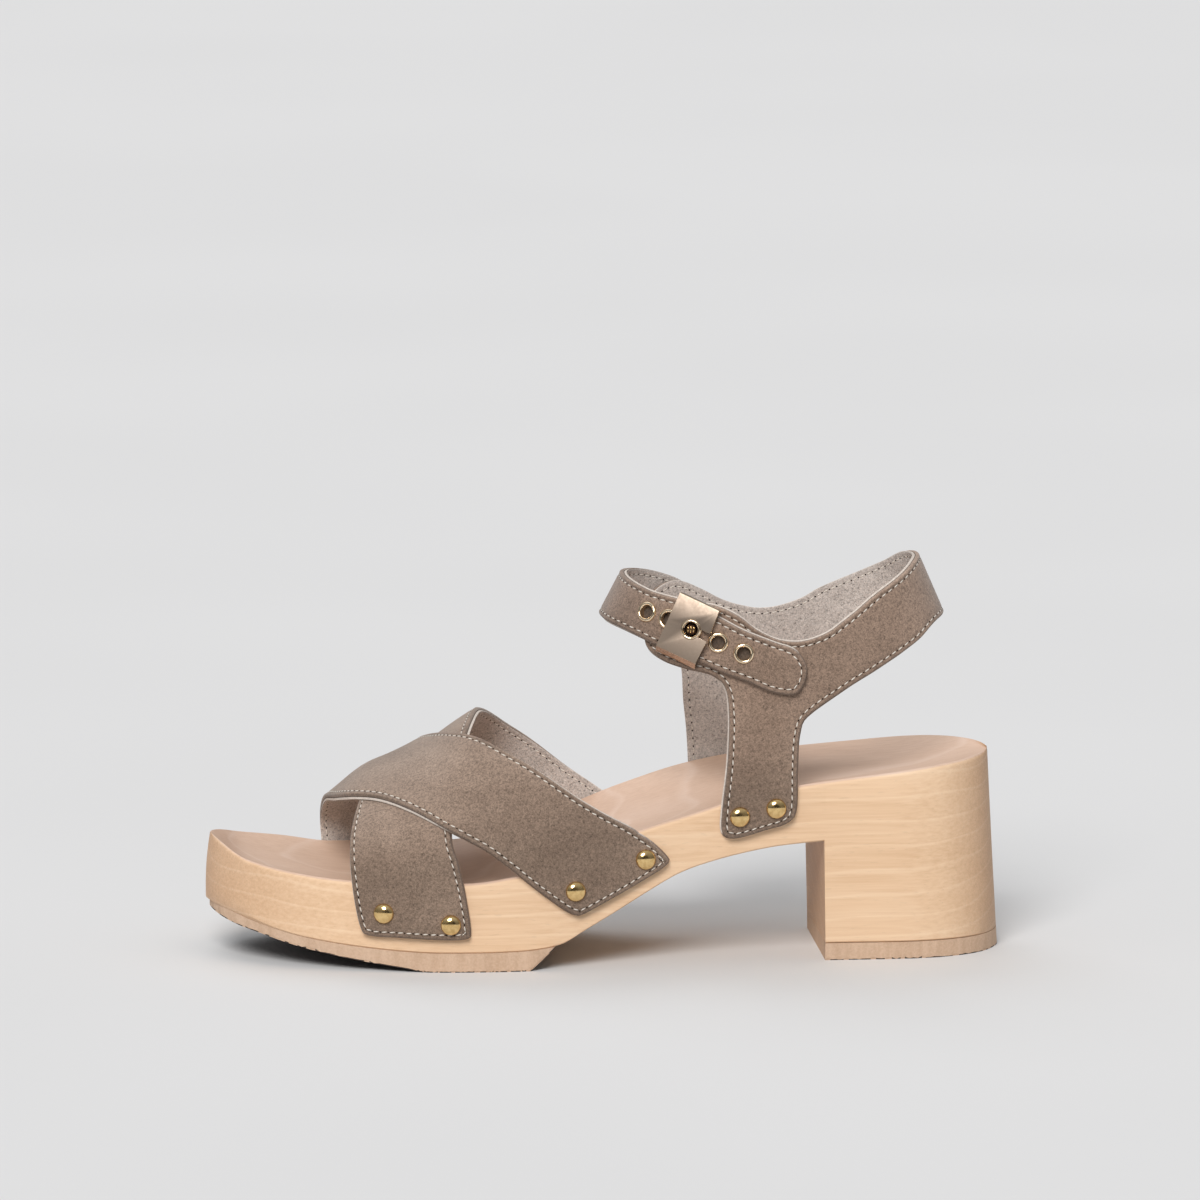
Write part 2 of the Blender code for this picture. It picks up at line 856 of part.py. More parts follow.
def make_tacks(collection, cutters):
    """The tacks, and the tool that opens their holes in leather and wood."""
    head, shank = TACK_HEAD / 2, TACK_SHANK / 2
    reach = GAP + LEATHER + GAP + TACK_DEPTH
    profile = [(head * out, TACK_RISE * up) for out, up in TACK_DOME]
    profile += [(shank, 0.0), (shank, -reach), (0.0, -reach - shank)]
    holes = bmesh.new()
    number = 0
    for rows, side in ((TACKS_OUTER, -1), (TACKS_INNER, 1)):
        for place, height in rows:
            number += 1
            placing = tack_placing(place, height, side)
            tack = turned(f"tack_{number:02d}", profile, 12, "brass", collection)
            tack.matrix_world = placing
            cylinder(holes, shank + GAP, -reach - shank - GAP, TACK_RISE, placing, 10)
    return new_object("tack_hole_tool", holes, None, cutters)


def eyelet_placing(index):
    """On the buckle strap at an eyelet, with X along the row to the rear."""

    def at(number, height):
        turn, share = EYELETS[min(max(number, 0), len(EYELETS) - 1)]
        return ankle_point(turn, share * ANKLE_TOP, height)

    skin = 2 * LEATHER + GAP
    point = at(index, skin)
    return aimed(point, at(index, skin + GAP) - point, at(index + 1, skin) - at(index - 1, skin))


def make_eyelets(collection, cutters):
    hole, flange = EYELET_HOLE / 2, EYELET_FLANGE / 2
    barrel = hole + EYELET_WALL
    profile = [(hole + (flange - hole) * out, GAP + EYELET_RISE * up) for out, up in EYELET_RIM]
    profile += [(flange, GAP), (barrel, GAP), (barrel, -LEATHER), (hole, -LEATHER), profile[0]]
    holes = bmesh.new()
    for index in range(len(EYELETS)):
        placing = eyelet_placing(index)
        eyelet = turned(f"eyelet_{index + 1}", profile, 14, "pale_gold", collection)
        eyelet.matrix_world = placing
        cylinder(holes, barrel + GAP, -LEATHER - 2 * GAP, LEATHER, placing, 14)
    return new_object("eyelet_hole_tool", holes, None, cutters)


def reach_over(placing, height, along_limits, across_limits):
    """The highest point of a skin within limits of the plate, in the plate's own frame."""
    turn, share = EYELETS[BUCKLE_EYELET]
    turns, rises = 18, 14
    inverse = placing.inverted()
    highest = -1.0
    for i in range(-turns, turns + 1):
        for j in range(-rises, rises + 1):
            point = inverse @ ankle_point(turn + i, share * ANKLE_TOP + j * 0.001, height)
            inside = along_limits[0] < point.x < along_limits[1]
            if inside and across_limits[0] < abs(point.y) < across_limits[1]:
                highest = max(highest, point.z)
    return highest


def make_buckle(collection, cutters):
    placing = eyelet_placing(BUCKLE_EYELET)
    front, rear = -PLATE_LONG / 2 - PLATE_FORWARD, PLATE_LONG / 2 - PLATE_FORWARD
    half_across = PLATE_ACROSS / 2
    inside = half_across - PLATE_THICK
    limits = (front - GAP, rear + GAP)
    strap_top = reach_over(placing, 2 * LEATHER + GAP, limits, (-GAP, inside))
    arm_top = reach_over(placing, LEATHER, limits, (inside - GAP, half_across + PLATE_LIP + GAP))
    base = strap_top + EYELET_RISE + 2 * GAP
    top = base + PLATE_THICK
    foot = arm_top + GAP
    bend = PLATE_THICK * 0.4
    lip_edge = -half_across - PLATE_LIP
    profile = (
        (lip_edge, foot),
        (-half_across, top),
        (half_across - bend, top),
        (half_across, top - bend),
        (half_across, foot),
        (inside, foot),
        (inside, base),
        (-half_across, base),
        (lip_edge + PLATE_THICK, foot),
    )
    bm = bmesh.new()
    bm.faces.new([bm.verts.new((front, y, z)) for y, z in profile])
    made = bmesh.ops.extrude_face_region(bm, geom=bm.faces[:], use_keep_orig=True)
    moved = [item for item in made["geom"] if isinstance(item, bmesh.types.BMVert)]
    bmesh.ops.translate(bm, verts=moved, vec=(PLATE_LONG, 0, 0))
    plate = new_object("buckle_plate", bm, "pale_gold", collection)
    plate.matrix_world = placing

    hole, ring_edge = PLATE_HOLE / 2, PLATE_HOLE / 2 + PLATE_RING
    crown = top + PLATE_THICK * 0.3
    middle = base + PLATE_THICK / 2
    ring_profile = [(hole, crown), (ring_edge, crown), (ring_edge, middle), (hole, middle), (hole, crown)]
    ring = turned("ring_tool", ring_profile, 20, "pale_gold", cutters)
    ring.matrix_world = placing
    opening = bmesh.new()
    cylinder(opening, hole, base - PLATE_THICK, top + PLATE_THICK, Matrix.Identity(4), 20)
    hole_tool = new_object("plate_hole_tool", opening, None, cutters)
    hole_tool.matrix_world = placing
    slot = bmesh.new()
    slot_start, slot_end = hole + PLATE_RING / 2, rear + PLATE_THICK
    slot_size = Vector((slot_end - slot_start, PLATE_SLOT, 4 * PLATE_THICK))
    slot_middle = Vector(((slot_start + slot_end) / 2, 0, middle))
    slot_place = Matrix.Translation(slot_middle) @ Matrix.Diagonal(slot_size).to_4x4()
    bmesh.ops.create_cube(slot, size=1.0, matrix=slot_place)
    slot_tool = new_object("plate_slot_tool", slot, None, cutters)
    slot_tool.matrix_world = placing
    boolean(plate, hole_tool, "DIFFERENCE")
    boolean(plate, slot_tool, "DIFFERENCE")
    boolean(plate, ring, "UNION")

    turn, share = EYELETS[BUCKLE_EYELET]
    seat = (placing.inverted() @ ankle_point(turn, share * ANKLE_TOP, LEATHER)).z + GAP
    post = PRONG / 2
    profile = [(0.0, top), (post - bend, top), (post, top - bend), (post, seat), (0.0, seat)]
    prong = turned("buckle_prong", profile, 12, "brass", collection)
    prong.matrix_world = placing


def settling(pieces):
    """The move that brings the middle of the shoe's box over the origin."""
    bpy.context.view_layer.update()
    graph = bpy.context.evaluated_depsgraph_get()
    corners = []
    for piece in pieces:
        evaluated = piece.evaluated_get(graph)
        corners += [evaluated.matrix_world @ Vector(corner) for corner in evaluated.bound_box]
    middle = [(min(c[i] for c in corners) + max(c[i] for c in corners)) / 2 for i in (0, 1)]
    return Vector((-middle[0], -middle[1], 0.0))


def main():
    for obj in list(bpy.data.objects):
        bpy.data.objects.remove(obj, do_unlink=True)
    scene = bpy.context.scene
    sandal = bpy.data.collections.new("wooden_sole_sandal")
    cutters = bpy.data.collections.new("cutters")
    scene.collection.children.link(sandal)
    scene.collection.children.link(cutters)

    wood = make_wood_sole(sandal)
    make_rubber(sandal)
    vamp = make_vamp_straps(sandal, cutters)
    quarter = make_quarter(sandal)
    strap = make_buckle_strap(sandal)
    tack_holes = make_tacks(sandal, cutters)
    for tacked in (wood, vamp, quarter):
        boolean(tacked, tack_holes, "DIFFERENCE")
    boolean(strap, make_eyelets(sandal, cutters), "DIFFERENCE")
    make_buckle(sandal, cutters)

    root = bpy.data.objects.new("sandal_root", None)
    sandal.objects.link(root)
    pieces = [obj for obj in sandal.objects if obj is not root]
    for piece in pieces + list(cutters.objects):
        piece.parent = root
    root.location = settling(pieces)
    for tool in cutters.objects:
        tool.hide_render = True
        tool.display_type = "WIRE"


main()
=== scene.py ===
import math
import random

import bmesh
import bpy
import numpy as np
from mathutils import Matrix, Vector
from mathutils.kdtree import KDTree


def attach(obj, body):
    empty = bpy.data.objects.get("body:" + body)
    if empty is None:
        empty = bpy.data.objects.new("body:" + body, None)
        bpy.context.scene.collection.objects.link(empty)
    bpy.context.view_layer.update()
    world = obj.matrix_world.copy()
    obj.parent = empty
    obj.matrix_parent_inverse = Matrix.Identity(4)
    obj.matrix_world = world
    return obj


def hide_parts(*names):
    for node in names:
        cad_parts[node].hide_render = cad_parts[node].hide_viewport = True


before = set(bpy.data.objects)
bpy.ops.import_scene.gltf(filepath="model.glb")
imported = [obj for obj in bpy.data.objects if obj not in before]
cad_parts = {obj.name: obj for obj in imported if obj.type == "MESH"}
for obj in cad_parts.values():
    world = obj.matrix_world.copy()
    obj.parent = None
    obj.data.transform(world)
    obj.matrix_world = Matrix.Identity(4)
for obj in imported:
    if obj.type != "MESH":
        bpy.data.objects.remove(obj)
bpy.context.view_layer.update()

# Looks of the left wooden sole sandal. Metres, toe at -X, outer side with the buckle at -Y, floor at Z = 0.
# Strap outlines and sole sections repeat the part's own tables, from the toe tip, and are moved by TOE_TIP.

TOE_TIP = Vector((-0.122525, -0.003058, 0.0))

# Sizes of the part
SOLE_LENGTH = 0.245
BALL_WIDTH = 0.084
HEEL_HEIGHT = 0.062
BREAST_HEIGHT = 0.0376
BREAST_PLACE = 0.7694 * SOLE_LENGTH
HEEL_FLARE = 0.0035
HEEL_TAPER = 0.003
TOE_SPRING = 0.0145
TOE_SETBACK = 0.0015
TOE_ROUND = 0.253 * SOLE_LENGTH
HEEL_ROUND = 0.1388 * SOLE_LENGTH
RIM_ROUND = 0.0015
FOOTBED_DEPTH = 0.0035
RUBBER = 0.0059
RUBBER_SETBACK = 0.0012
RUBBER_TRIM = 0.0005
RUBBER_END = 0.4122 * SOLE_LENGTH
RUBBER_BEVEL = 0.0042
RUBBER_SLANT = 0.0035
THIN_END = 0.0002
TREAD_AND_SHADOW_LINE = 0.00035
TREAD_STEP = 0.00005
NICK = 0.0003
FOOT_ROUND = 0.0004
TOE_FOOT_ROUND = 0.0012
LIFT = 0.0054
INSTEP_HEIGHT = 0.080
VAMP_GIRTH = 0.120
LEATHER = 0.0022
CROSSING_RAMP = 0.018
CROSSING_GAP = 0.0001
ANKLE_LENGTH = 0.3437 * SOLE_LENGTH
ANKLE_WIDTH = 0.6333 * BALL_WIDTH
ANKLE_PLACE = 0.7212 * SOLE_LENGTH
ANKLE_TOP = 0.120
ANKLE_SHIFT = 0.0008
FRONT_LEAN = 0.526
BACK_LEAN = 0.433
GAP = 0.0003
TOE_POWER = 2.0
HEEL_POWER = 2.3
ARCH_POWER = 2.15
ANKLE_POWER = 2.3
TAPER_START, TAPER_RUN = 0.49, 0.28
FLARE_START, FLARE_RUN = 0.80, 0.17
TUCK_RUN = 0.05
STRAPS_APART = 0.60
TOE_NOSE = 0.55
NARROWEST = 0.3
ANKLE_SPREAD = 0.2
SPREAD_START = 0.1
ANKLE_FREE = 0.72

# Small metal parts
TACK_HEAD = 0.0063
TACK_RISE = 0.0019
EYELET_FLANGE = 0.0064
EYELET_HOLE = 0.0040
EYELET_RISE = 0.0007
EYELET_WALL = 0.0003
PLATE_LONG = 0.0128
PLATE_ACROSS = 0.15 * ANKLE_TOP
PLATE_LIP = 0.0018
PLATE_FORWARD = 0.0013
PLATE_THICK = 0.0008
PLATE_BULGE = 0.0005
PLATE_MORE = 0.0006
PLATE_BEND = 0.0005
PLATE_TOP = 0.00223
PLATE_FOOT = -0.00177
PLATE_HOLE = 0.0046
PLATE_RING = 0.0008
PLATE_SLOT = 0.0026
PLATE_EDGE = 0.00026
PRONG = 0.0030
STUD_SUNK = 0.0006
STUD_TURN = Matrix.Rotation(math.radians(22), 4, "Z")

# Stitching
STITCH_INSET = 0.0019
STITCH_PITCH = 0.0025
STITCH_LONG = 0.0016
STITCH_WIDE = 0.00042
STITCH_HIGH = 0.00036
STITCH_TURN = math.radians(7)
HOLE_WIDE = 0.00056
FURROW = 0.00022

# Fineness
STRAP_CELL = 0.0017
ANKLE_CELL_TURN = 2.2
OUTLINE_SPANS = 6
OUTLINE_STEP = 0.0012
ROUND_COLUMNS = 26
WAIST_COLUMNS = 90
HEEL_COLUMNS = 12
TREAD_COLUMNS = 60
LIFT_COLUMNS = 24
LIFT_ROUND_COLUMNS = 44

# View, in degrees, metres and millimetres of lens
CAMERA_AZIMUTH = math.radians(-4.9)
CAMERA_ELEVATION = math.radians(9.05)
CAMERA_DISTANCE = 4.0
CAMERA_LENS = 389.4
LOOK_AT = Vector((-0.000925, -0.003058, 0.1088))

# Columns: place as a share of the length, centre line, half width, both as shares of the ball width
PLAN = (
    (0.000, 0.095, 0.458), (0.184, 0.060, 0.476), (0.294, 0.036, 0.500), (0.396, 0.006, 0.470),
    (0.571, -0.018, 0.381), (0.714, -0.006, 0.369), (0.837, 0.000, 0.369), (1.000, 0.000, 0.363),
)

# Columns: place, outer rim height, inner rim height, both as shares of the heel height
RIM = (
    (0.000, 0.594, 0.590), (0.049, 0.511, 0.532), (0.102, 0.473, 0.490), (0.171, 0.450, 0.442),
    (0.314, 0.444, 0.435), (0.376, 0.474, 0.484), (0.449, 0.568, 0.597), (0.535, 0.684, 0.747),
    (0.612, 0.773, 0.847), (0.673, 0.845, 0.894), (0.735, 0.889, 0.919), (0.837, 0.939, 0.952),
    (0.939, 0.985, 0.984), (1.000, 1.000, 0.994),
)

# Columns: place, depth as a share of the footbed depth
DISH = (
    (0.00, 0.0), (0.08, 0.6), (0.30, 1.0), (0.50, 0.7), (0.70, 0.8), (0.88, 1.1), (1.00, 0.1),
)

# Columns: place, rise as a share of the breast height above the rubber
UNDERSIDE = (
    (0.000, 0.331), (0.027, 0.284), (0.050, 0.230), (0.086, 0.158), (0.110, 0.120), (0.171, 0.057),
    (0.233, 0.016), (0.280, 0.000), (0.335, 0.000), (0.384, 0.009), (0.408, 0.025), (0.433, 0.062),
    (0.467, 0.202), (0.509, 0.385), (0.547, 0.558), (0.585, 0.719), (0.611, 0.792), (0.661, 0.890),
    (0.712, 0.959), (0.770, 1.000),
)

# Columns: place, height as a share of the toe spring
TREAD = (
    (0.000, 1.000), (0.017, 0.862), (0.038, 0.745), (0.061, 0.655), (0.098, 0.490), (0.147, 0.317),
    (0.184, 0.214), (0.233, 0.092), (0.272, 0.000), (1.000, 0.000),
)

# Columns: place, height as a share of the heel height
SPRING = (
    (0.082, 0.435), (0.147, 0.468), (0.245, 0.516), (0.347, 0.565), (0.449, 0.613), (0.571, 0.710),
)

# Columns: place, height as a share of the instep height
CREST = (
    (0.082, 0.412), (0.150, 0.542), (0.169, 0.581), (0.207, 0.652), (0.245, 0.702), (0.285, 0.769),
    (0.302, 0.810), (0.326, 0.866), (0.346, 0.907), (0.408, 1.000), (0.490, 1.100),
)

# Columns: place, way over the foot from the outer side as a share of the girth
STRAP_OVER = (
    (0.451, -0.174), (0.435, -0.152), (0.394, -0.077), (0.356, -0.004), (0.297, 0.090), (0.236, 0.235),
    (0.191, 0.350), (0.170, 0.445), (0.159, 0.560), (0.155, 0.780), (0.154, 0.910), (0.156, 1.020),
    (0.166, 1.125), (0.179, 1.168), (0.235, 1.185), (0.294, 1.200), (0.305, 1.178), (0.297, 1.080),
    (0.284, 0.940), (0.279, 0.790), (0.283, 0.640), (0.301, 0.500), (0.327, 0.385), (0.373, 0.257),
    (0.433, 0.135), (0.482, 0.060), (0.533, 0.000), (0.566, -0.070), (0.569, -0.100), (0.534, -0.130),
    (0.483, -0.163), (0.460, -0.177),
)

STRAP_UNDER = (
    (0.184, -0.136), (0.175, -0.040), (0.172, 0.060), (0.176, 0.200), (0.190, 0.346), (0.208, 0.480),
    (0.228, 0.620), (0.250, 0.745), (0.276, 0.825), (0.309, 0.905), (0.343, 0.975), (0.370, 1.010),
    (0.404, 1.070), (0.444, 1.150), (0.460, 1.174), (0.490, 1.163), (0.535, 1.130), (0.570, 1.100),
    (0.569, 1.080), (0.540, 1.015), (0.508, 0.982), (0.458, 0.912), (0.408, 0.815), (0.380, 0.740),
    (0.358, 0.640), (0.343, 0.520), (0.326, 0.395), (0.303, 0.200), (0.298, 0.073), (0.306, 0.000),
    (0.314, -0.076), (0.321, -0.178), (0.314, -0.196), (0.282, -0.190), (0.232, -0.173), (0.195, -0.160),
)

# Columns: degrees round the ankle from the back, by the side named; height as a share of its top
QUARTER_OUTER = (
    (9.0, 1.018), (29.5, 1.000), (54.5, 0.950), (70.0, 0.890), (79.0, 0.850), (88.0, 0.833),
    (96.0, 0.858), (105.0, 0.903), (116.0, 0.928), (130.0, 0.922), (138.5, 0.893), (142.0, 0.848),
    (138.0, 0.808), (129.0, 0.779), (119.0, 0.760), (109.5, 0.745), (104.6, 0.711), (102.3, 0.640),
    (101.0, 0.525), (100.6, 0.410), (99.8, 0.345), (97.0, 0.327), (91.8, 0.345), (88.0, 0.368),
)

QUARTER_INNER = (
    (20.0, 1.010), (41.8, 0.973), (59.8, 0.935), (73.2, 0.900), (80.5, 0.870), (90.0, 0.846),
    (97.2, 0.854), (104.5, 0.873), (113.2, 0.902), (124.0, 0.926), (132.0, 0.920), (137.0, 0.895),
    (137.0, 0.855), (132.0, 0.825), (124.0, 0.795), (117.0, 0.755), (112.2, 0.690), (109.0, 0.604),
    (106.2, 0.523), (104.0, 0.430), (103.0, 0.350), (101.0, 0.327), (95.0, 0.340), (88.5, 0.362),
)

# The rear edge of a tab and the lower edge of the heel strap, the same on both sides
QUARTER_HEEL = (
    (86.8, 0.405), (86.7, 0.500), (86.2, 0.595), (83.8, 0.643), (73.0, 0.707), (62.2, 0.750),
    (53.0, 0.780), (41.0, 0.812), (20.0, 0.854),
)

BUCKLE_STRAP = (
    (84.6, 0.768), (85.4, 0.722), (88.0, 0.694), (92.5, 0.703), (98.0, 0.727), (106.5, 0.753),
    (115.0, 0.779), (123.0, 0.797), (131.5, 0.811), (141.5, 0.829), (155.0, 0.843), (172.0, 0.849),
    (188.0, 0.849), (203.0, 0.845), (214.0, 0.838), (225.0, 0.826), (235.0, 0.808), (241.5, 0.796),
    (243.5, 0.808), (243.8, 0.860), (243.0, 0.893), (238.0, 0.922), (227.0, 0.943), (214.0, 0.957),
    (200.0, 0.963), (186.0, 0.965), (170.0, 0.963), (156.0, 0.956), (145.5, 0.948), (136.5, 0.943),
    (129.0, 0.937), (119.5, 0.920), (110.0, 0.893), (101.5, 0.864), (93.5, 0.838), (87.5, 0.812),
)

# Columns: place, height as a share of the heel height
TACKS_OUTER = (
    (0.212, 0.300), (0.295, 0.247), (0.452, 0.402), (0.541, 0.547), (0.660, 0.747), (0.706, 0.785),
)

TACKS_INNER = (
    (0.198, 0.298), (0.278, 0.247), (0.456, 0.402), (0.545, 0.547), (0.636, 0.747), (0.690, 0.785),
)

# Columns: degrees round the ankle by the outer side, height as a share of its top
EYELETS = (
    (142.0, 0.892), (130.6, 0.881), (119.8, 0.860), (109.3, 0.830), (100.6, 0.803),
)
BUCKLE_EYELET = 2

# Leather's edge from the lining over the cut edge to the suede. Columns: inset, height, finish
LINING, CUT_EDGE, SUEDE, LAYER_LINE = 0, 1, 2, 3
EDGE_RINGS = (
    (STITCH_INSET + 0.0006, 0.0, LINING),
    (STITCH_INSET, FURROW * 0.6, LINING),
    (STITCH_INSET - 0.0006, 0.0, LINING),
    (0.00030, 0.0, LINING),
    (0.00008, 0.00012, CUT_EDGE),
    (0.0, 0.00030, CUT_EDGE),
    (0.00036, 0.00090, LAYER_LINE),
    (0.00054, 0.00100, LAYER_LINE),
    (0.00042, 0.00110, SUEDE),
    (0.00046, 0.00170, SUEDE),
    (0.00060, 0.00200, SUEDE),
    (0.00090, 0.0022, SUEDE),
    (STITCH_INSET - 0.0007, 0.0022, SUEDE),
    (STITCH_INSET, 0.0022 - FURROW, SUEDE),
    (STITCH_INSET + 0.0007, 0.0022, SUEDE),
)


# Curves and surfaces


def smooth_curve(rows, column, steps=1200):
    """A quick reader of one column, on a smooth curve that never overshoots its rows."""
    x = np.array([row[0] for row in rows])
    y = np.array([row[column] for row in rows])
    width = np.diff(x)
    slope = np.diff(y) / width
    tangent = np.zeros(len(x))
    before, after = slope[:-1], slope[1:]
    turning = before * after > 0
    total = np.where(turning, before + after, 1.0)
    tangent[1:-1] = np.where(turning, 2 * before * after / total, 0.0)
    tangent[0], tangent[-1] = slope[0], slope[-1]
    places = np.linspace(x[0], x[-1], steps)
    index = np.clip(np.searchsorted(x, places, side="right") - 1, 0, len(width) - 1)
    t = (places - x[index]) / width[index]
    curve = y[index] * (1 + 2 * t) * (1 - t) ** 2 + y[index + 1] * t * t * (3 - 2 * t)
    curve += width[index] * (tangent[index] * t * (1 - t) ** 2 - tangent[index + 1] * t * t * (1 - t))
    values = [float(value) for value in curve]
    first, scale = float(x[0]), (steps - 1) / float(x[-1] - x[0])

    def read(place):
        at = min(max((place - first) * scale, 0.0), steps - 1.001)
        k = int(at)
        return values[k] + (values[k + 1] - values[k]) * (at - k)

    return read


centre_share = smooth_curve(PLAN, 1)
half_share = smooth_curve(PLAN, 2)
outer_rim = smooth_curve(RIM, 1)
inner_rim = smooth_curve(RIM, 2)
dish_share = smooth_curve(DISH, 1)
underside_share = smooth_curve(UNDERSIDE, 1)
tread_share = smooth_curve(TREAD, 1)
spring_share = smooth_curve(SPRING, 1)
crest_share = smooth_curve(CREST, 1)


def eased(t):
    """0 to 1 with flat ends."""
    t = min(max(t, 0.0), 1.0)
    return t * t * (3 - 2 * t)


def rounding(distance, radius, power):
    t = min(max(distance / radius, 0.0), 1.0)
    return (1 - (1 - t) ** power) ** (1 / power)


def plan_centre(s):
    return BALL_WIDTH * centre_share(s / SOLE_LENGTH)


def plan_half(s, setback=0.0):
    full = BALL_WIDTH * half_share(s / SOLE_LENGTH)
    toe = rounding(s - setback, TOE_ROUND - setback, TOE_POWER)
    heel = rounding(SOLE_LENGTH - HEEL_FLARE - s, HEEL_ROUND, HEEL_POWER)
    return full * toe * heel


def rim_height(s, side):
    share = outer_rim if side < 0 else inner_rim
    return HEEL_HEIGHT * share(s / SOLE_LENGTH)


def wood_side(s, z, side):
    """Y of the wood's side at a height; the heel block narrows towards the floor."""
    rim = rim_height(s, side)
    taper = HEEL_TAPER * eased((s / SOLE_LENGTH - TAPER_START) / TAPER_RUN) * max(rim - z, 0.0) / rim
    return plan_centre(s) + side * (plan_half(s) - min(taper, plan_half(s) * NARROWEST))


def wood_underside(s):
    if s > BREAST_PLACE:
        return LIFT + GAP / 2
    return RUBBER + GAP / 2 + (BREAST_HEIGHT - RUBBER) * underside_share(s / SOLE_LENGTH)


def tread_height(s):
    return TOE_SPRING * tread_share(s / SOLE_LENGTH)


def along(s, z):
    """X before centring: the toe's upper edge is set back and the heel flares towards the floor."""
    nose = TOE_NOSE * rim_height(0.0, -1)
    upper = max(z - nose, 0.0) / (rim_height(s, -1) - nose)
    setback = TOE_SETBACK * (1 - eased(s / (SOLE_LENGTH * TUCK_RUN))) * upper**2
    reach = eased((s / SOLE_LENGTH - FLARE_START) / FLARE_RUN)
    return s + setback + HEEL_FLARE * reach * (1 - min(z, HEEL_HEIGHT) / HEEL_HEIGHT)


def vamp_surface(s, way):
    """The inside of the vamp: upright beside the wood, then an arch over the foot."""
    outer, inner = plan_centre(s) - plan_half(s) - GAP, plan_centre(s) + plan_half(s) + GAP
    spring = HEEL_HEIGHT * spring_share(s / SOLE_LENGTH)
    crest = INSTEP_HEIGHT * crest_share(s / SOLE_LENGTH)
    if way < 0:
        return Vector((s, outer, spring + way))
    if way > VAMP_GIRTH:
        return Vector((s, inner, spring - way + VAMP_GIRTH))
    angle = math.pi * way / VAMP_GIRTH
    power = 2 / ARCH_POWER
    across = math.copysign(abs(math.cos(angle)) ** power, math.cos(angle))
    y = (outer + inner) / 2 - (inner - outer) / 2 * across
    return Vector((s, y, spring + (crest - spring) * math.sin(angle) ** power))


def ankle_surface(turn, z):
    """The inside of the quarter: an oval that flares downwards, drawn in to the wood's sides below."""
    front = ANKLE_PLACE - ANKLE_LENGTH / 2 - FRONT_LEAN * (ANKLE_TOP - z)
    back = ANKLE_PLACE + ANKLE_LENGTH / 2 + BACK_LEAN * (ANKLE_TOP - z)
    angle = math.radians(turn)
    power = 2 / ANKLE_POWER
    c, d = math.cos(angle), math.sin(angle)
    x = (front + back) / 2 + (back - front) / 2 * math.copysign(abs(c) ** power, c)
    side = -1 if d > 0 else 1
    low = max((ANKLE_TOP - z) / ANKLE_TOP - SPREAD_START, 0.0)
    half = ANKLE_WIDTH * (0.5 + ANKLE_SPREAD * low)
    y = side * half * abs(d) ** power - ANKLE_SHIFT
    rim = rim_height(x, side)
    beside = wood_side(x, min(z, rim), side) + side * GAP
    share = eased((z - rim) / (ANKLE_FREE * ANKLE_TOP - rim))
    return Vector((x, beside + (y - beside) * share, z))


class Skin:
    """A surface of the foot, with the steps that measure its slopes and the side that faces out."""

    def __init__(self, surface, step_u, step_v):
        self.surface, self.step_u, self.step_v = surface, step_u, step_v

    def slopes(self, u, v):
        along_u = self.surface(u + self.step_u, v) - self.surface(u - self.step_u, v)
        along_v = self.surface(u, v + self.step_v) - self.surface(u, v - self.step_v)
        return along_u / (2 * self.step_u), along_v / (2 * self.step_v)

    def out(self, u, v):
        along_u, along_v = self.slopes(u, v)
        return (along_u.cross(along_v) * math.copysign(1, self.step_u)).normalized()

    def point(self, u, v, height):
        return self.surface(u, v) + self.out(u, v) * height

    def inset(self, outline, index, distance):
        """The outline's point moved inwards by a real distance, less in tight corners."""
        count = len(outline)
        here, before, after = (outline[(index + k) % count] for k in (0, -1, 1))
        along_u, along_v = self.slopes(*here)
        back = along_u * (before[0] - here[0]) + along_v * (before[1] - here[1])
        on = along_u * (after[0] - here[0]) + along_v * (after[1] - here[1])
        way = (on.normalized() - back.normalized()).normalized()
        out = along_u.cross(along_v).normalized()
        inward = out.cross(way)
        turn = on.normalized() + back.normalized()
        bend = turn.length / max((on.length + back.length) / 2, 1e-9)
        if bend > 1e-6 and turn.dot(inward) > 0:
            distance = min(distance, 0.86 / bend)
        uu, uv, vv = along_u.dot(along_u), along_u.dot(along_v), along_v.dot(along_v)
        a, b = inward.dot(along_u), inward.dot(along_v)
        across = uu * vv - uv * uv
        return (
            here[0] + distance * (a * vv - b * uv) / across,
            here[1] + distance * (b * uu - a * uv) / across,
        )


VAMP_SKIN = Skin(vamp_surface, 0.0004, 0.0004)
ANKLE_SKIN = Skin(ankle_surface, -0.5, 0.0004)


def smooth_outline(points):
    """A closed outline through the points, rounded between them."""
    count = len(points)
    result = []
    for i in range(count):
        a, b, c, d = (np.array(points[(i + k) % count]) for k in (-1, 0, 1, 2))
        for k in range(OUTLINE_SPANS):
            t = k / OUTLINE_SPANS
            bend = (2 * a - 5 * b + 4 * c - d) * t**2 + (3 * b - a - 3 * c + d) * t**3
            result.append(0.5 * (2 * b + (c - a) * t + bend))
    return [tuple(float(value) for value in point) for point in result]


def evened(points, skin, step):
    """The same closed outline with its points a real step apart."""
    ends = points + points[:1]
    places = [skin.surface(*point) for point in ends]
    lengths = [0.0]
    for a, b in zip(places, places[1:]):
        lengths.append(lengths[-1] + (b - a).length)
    count = max(int(round(lengths[-1] / step)), 2)
    wanted = [lengths[-1] * k / count for k in range(count)]
    us = np.interp(wanted, lengths, [point[0] for point in ends])
    vs = np.interp(wanted, lengths, [point[1] for point in ends])
    return [(float(u), float(v)) for u, v in zip(us, vs)]


def anticlockwise(outline):
    total = sum(a[0] * b[1] - b[0] * a[1] for a, b in zip(outline, outline[1:] + outline[:1]))
    return outline if total > 0 else outline[::-1]


# Mesh helpers


def as_mesh(name, bm):
    mesh = bpy.data.meshes.new(name)
    bm.to_mesh(mesh)
    bm.free()
    return mesh


def added(name, data):
    """A new object in the scene."""
    made = bpy.data.objects.new(name, data)
    bpy.context.scene.collection.objects.link(made)
    return made


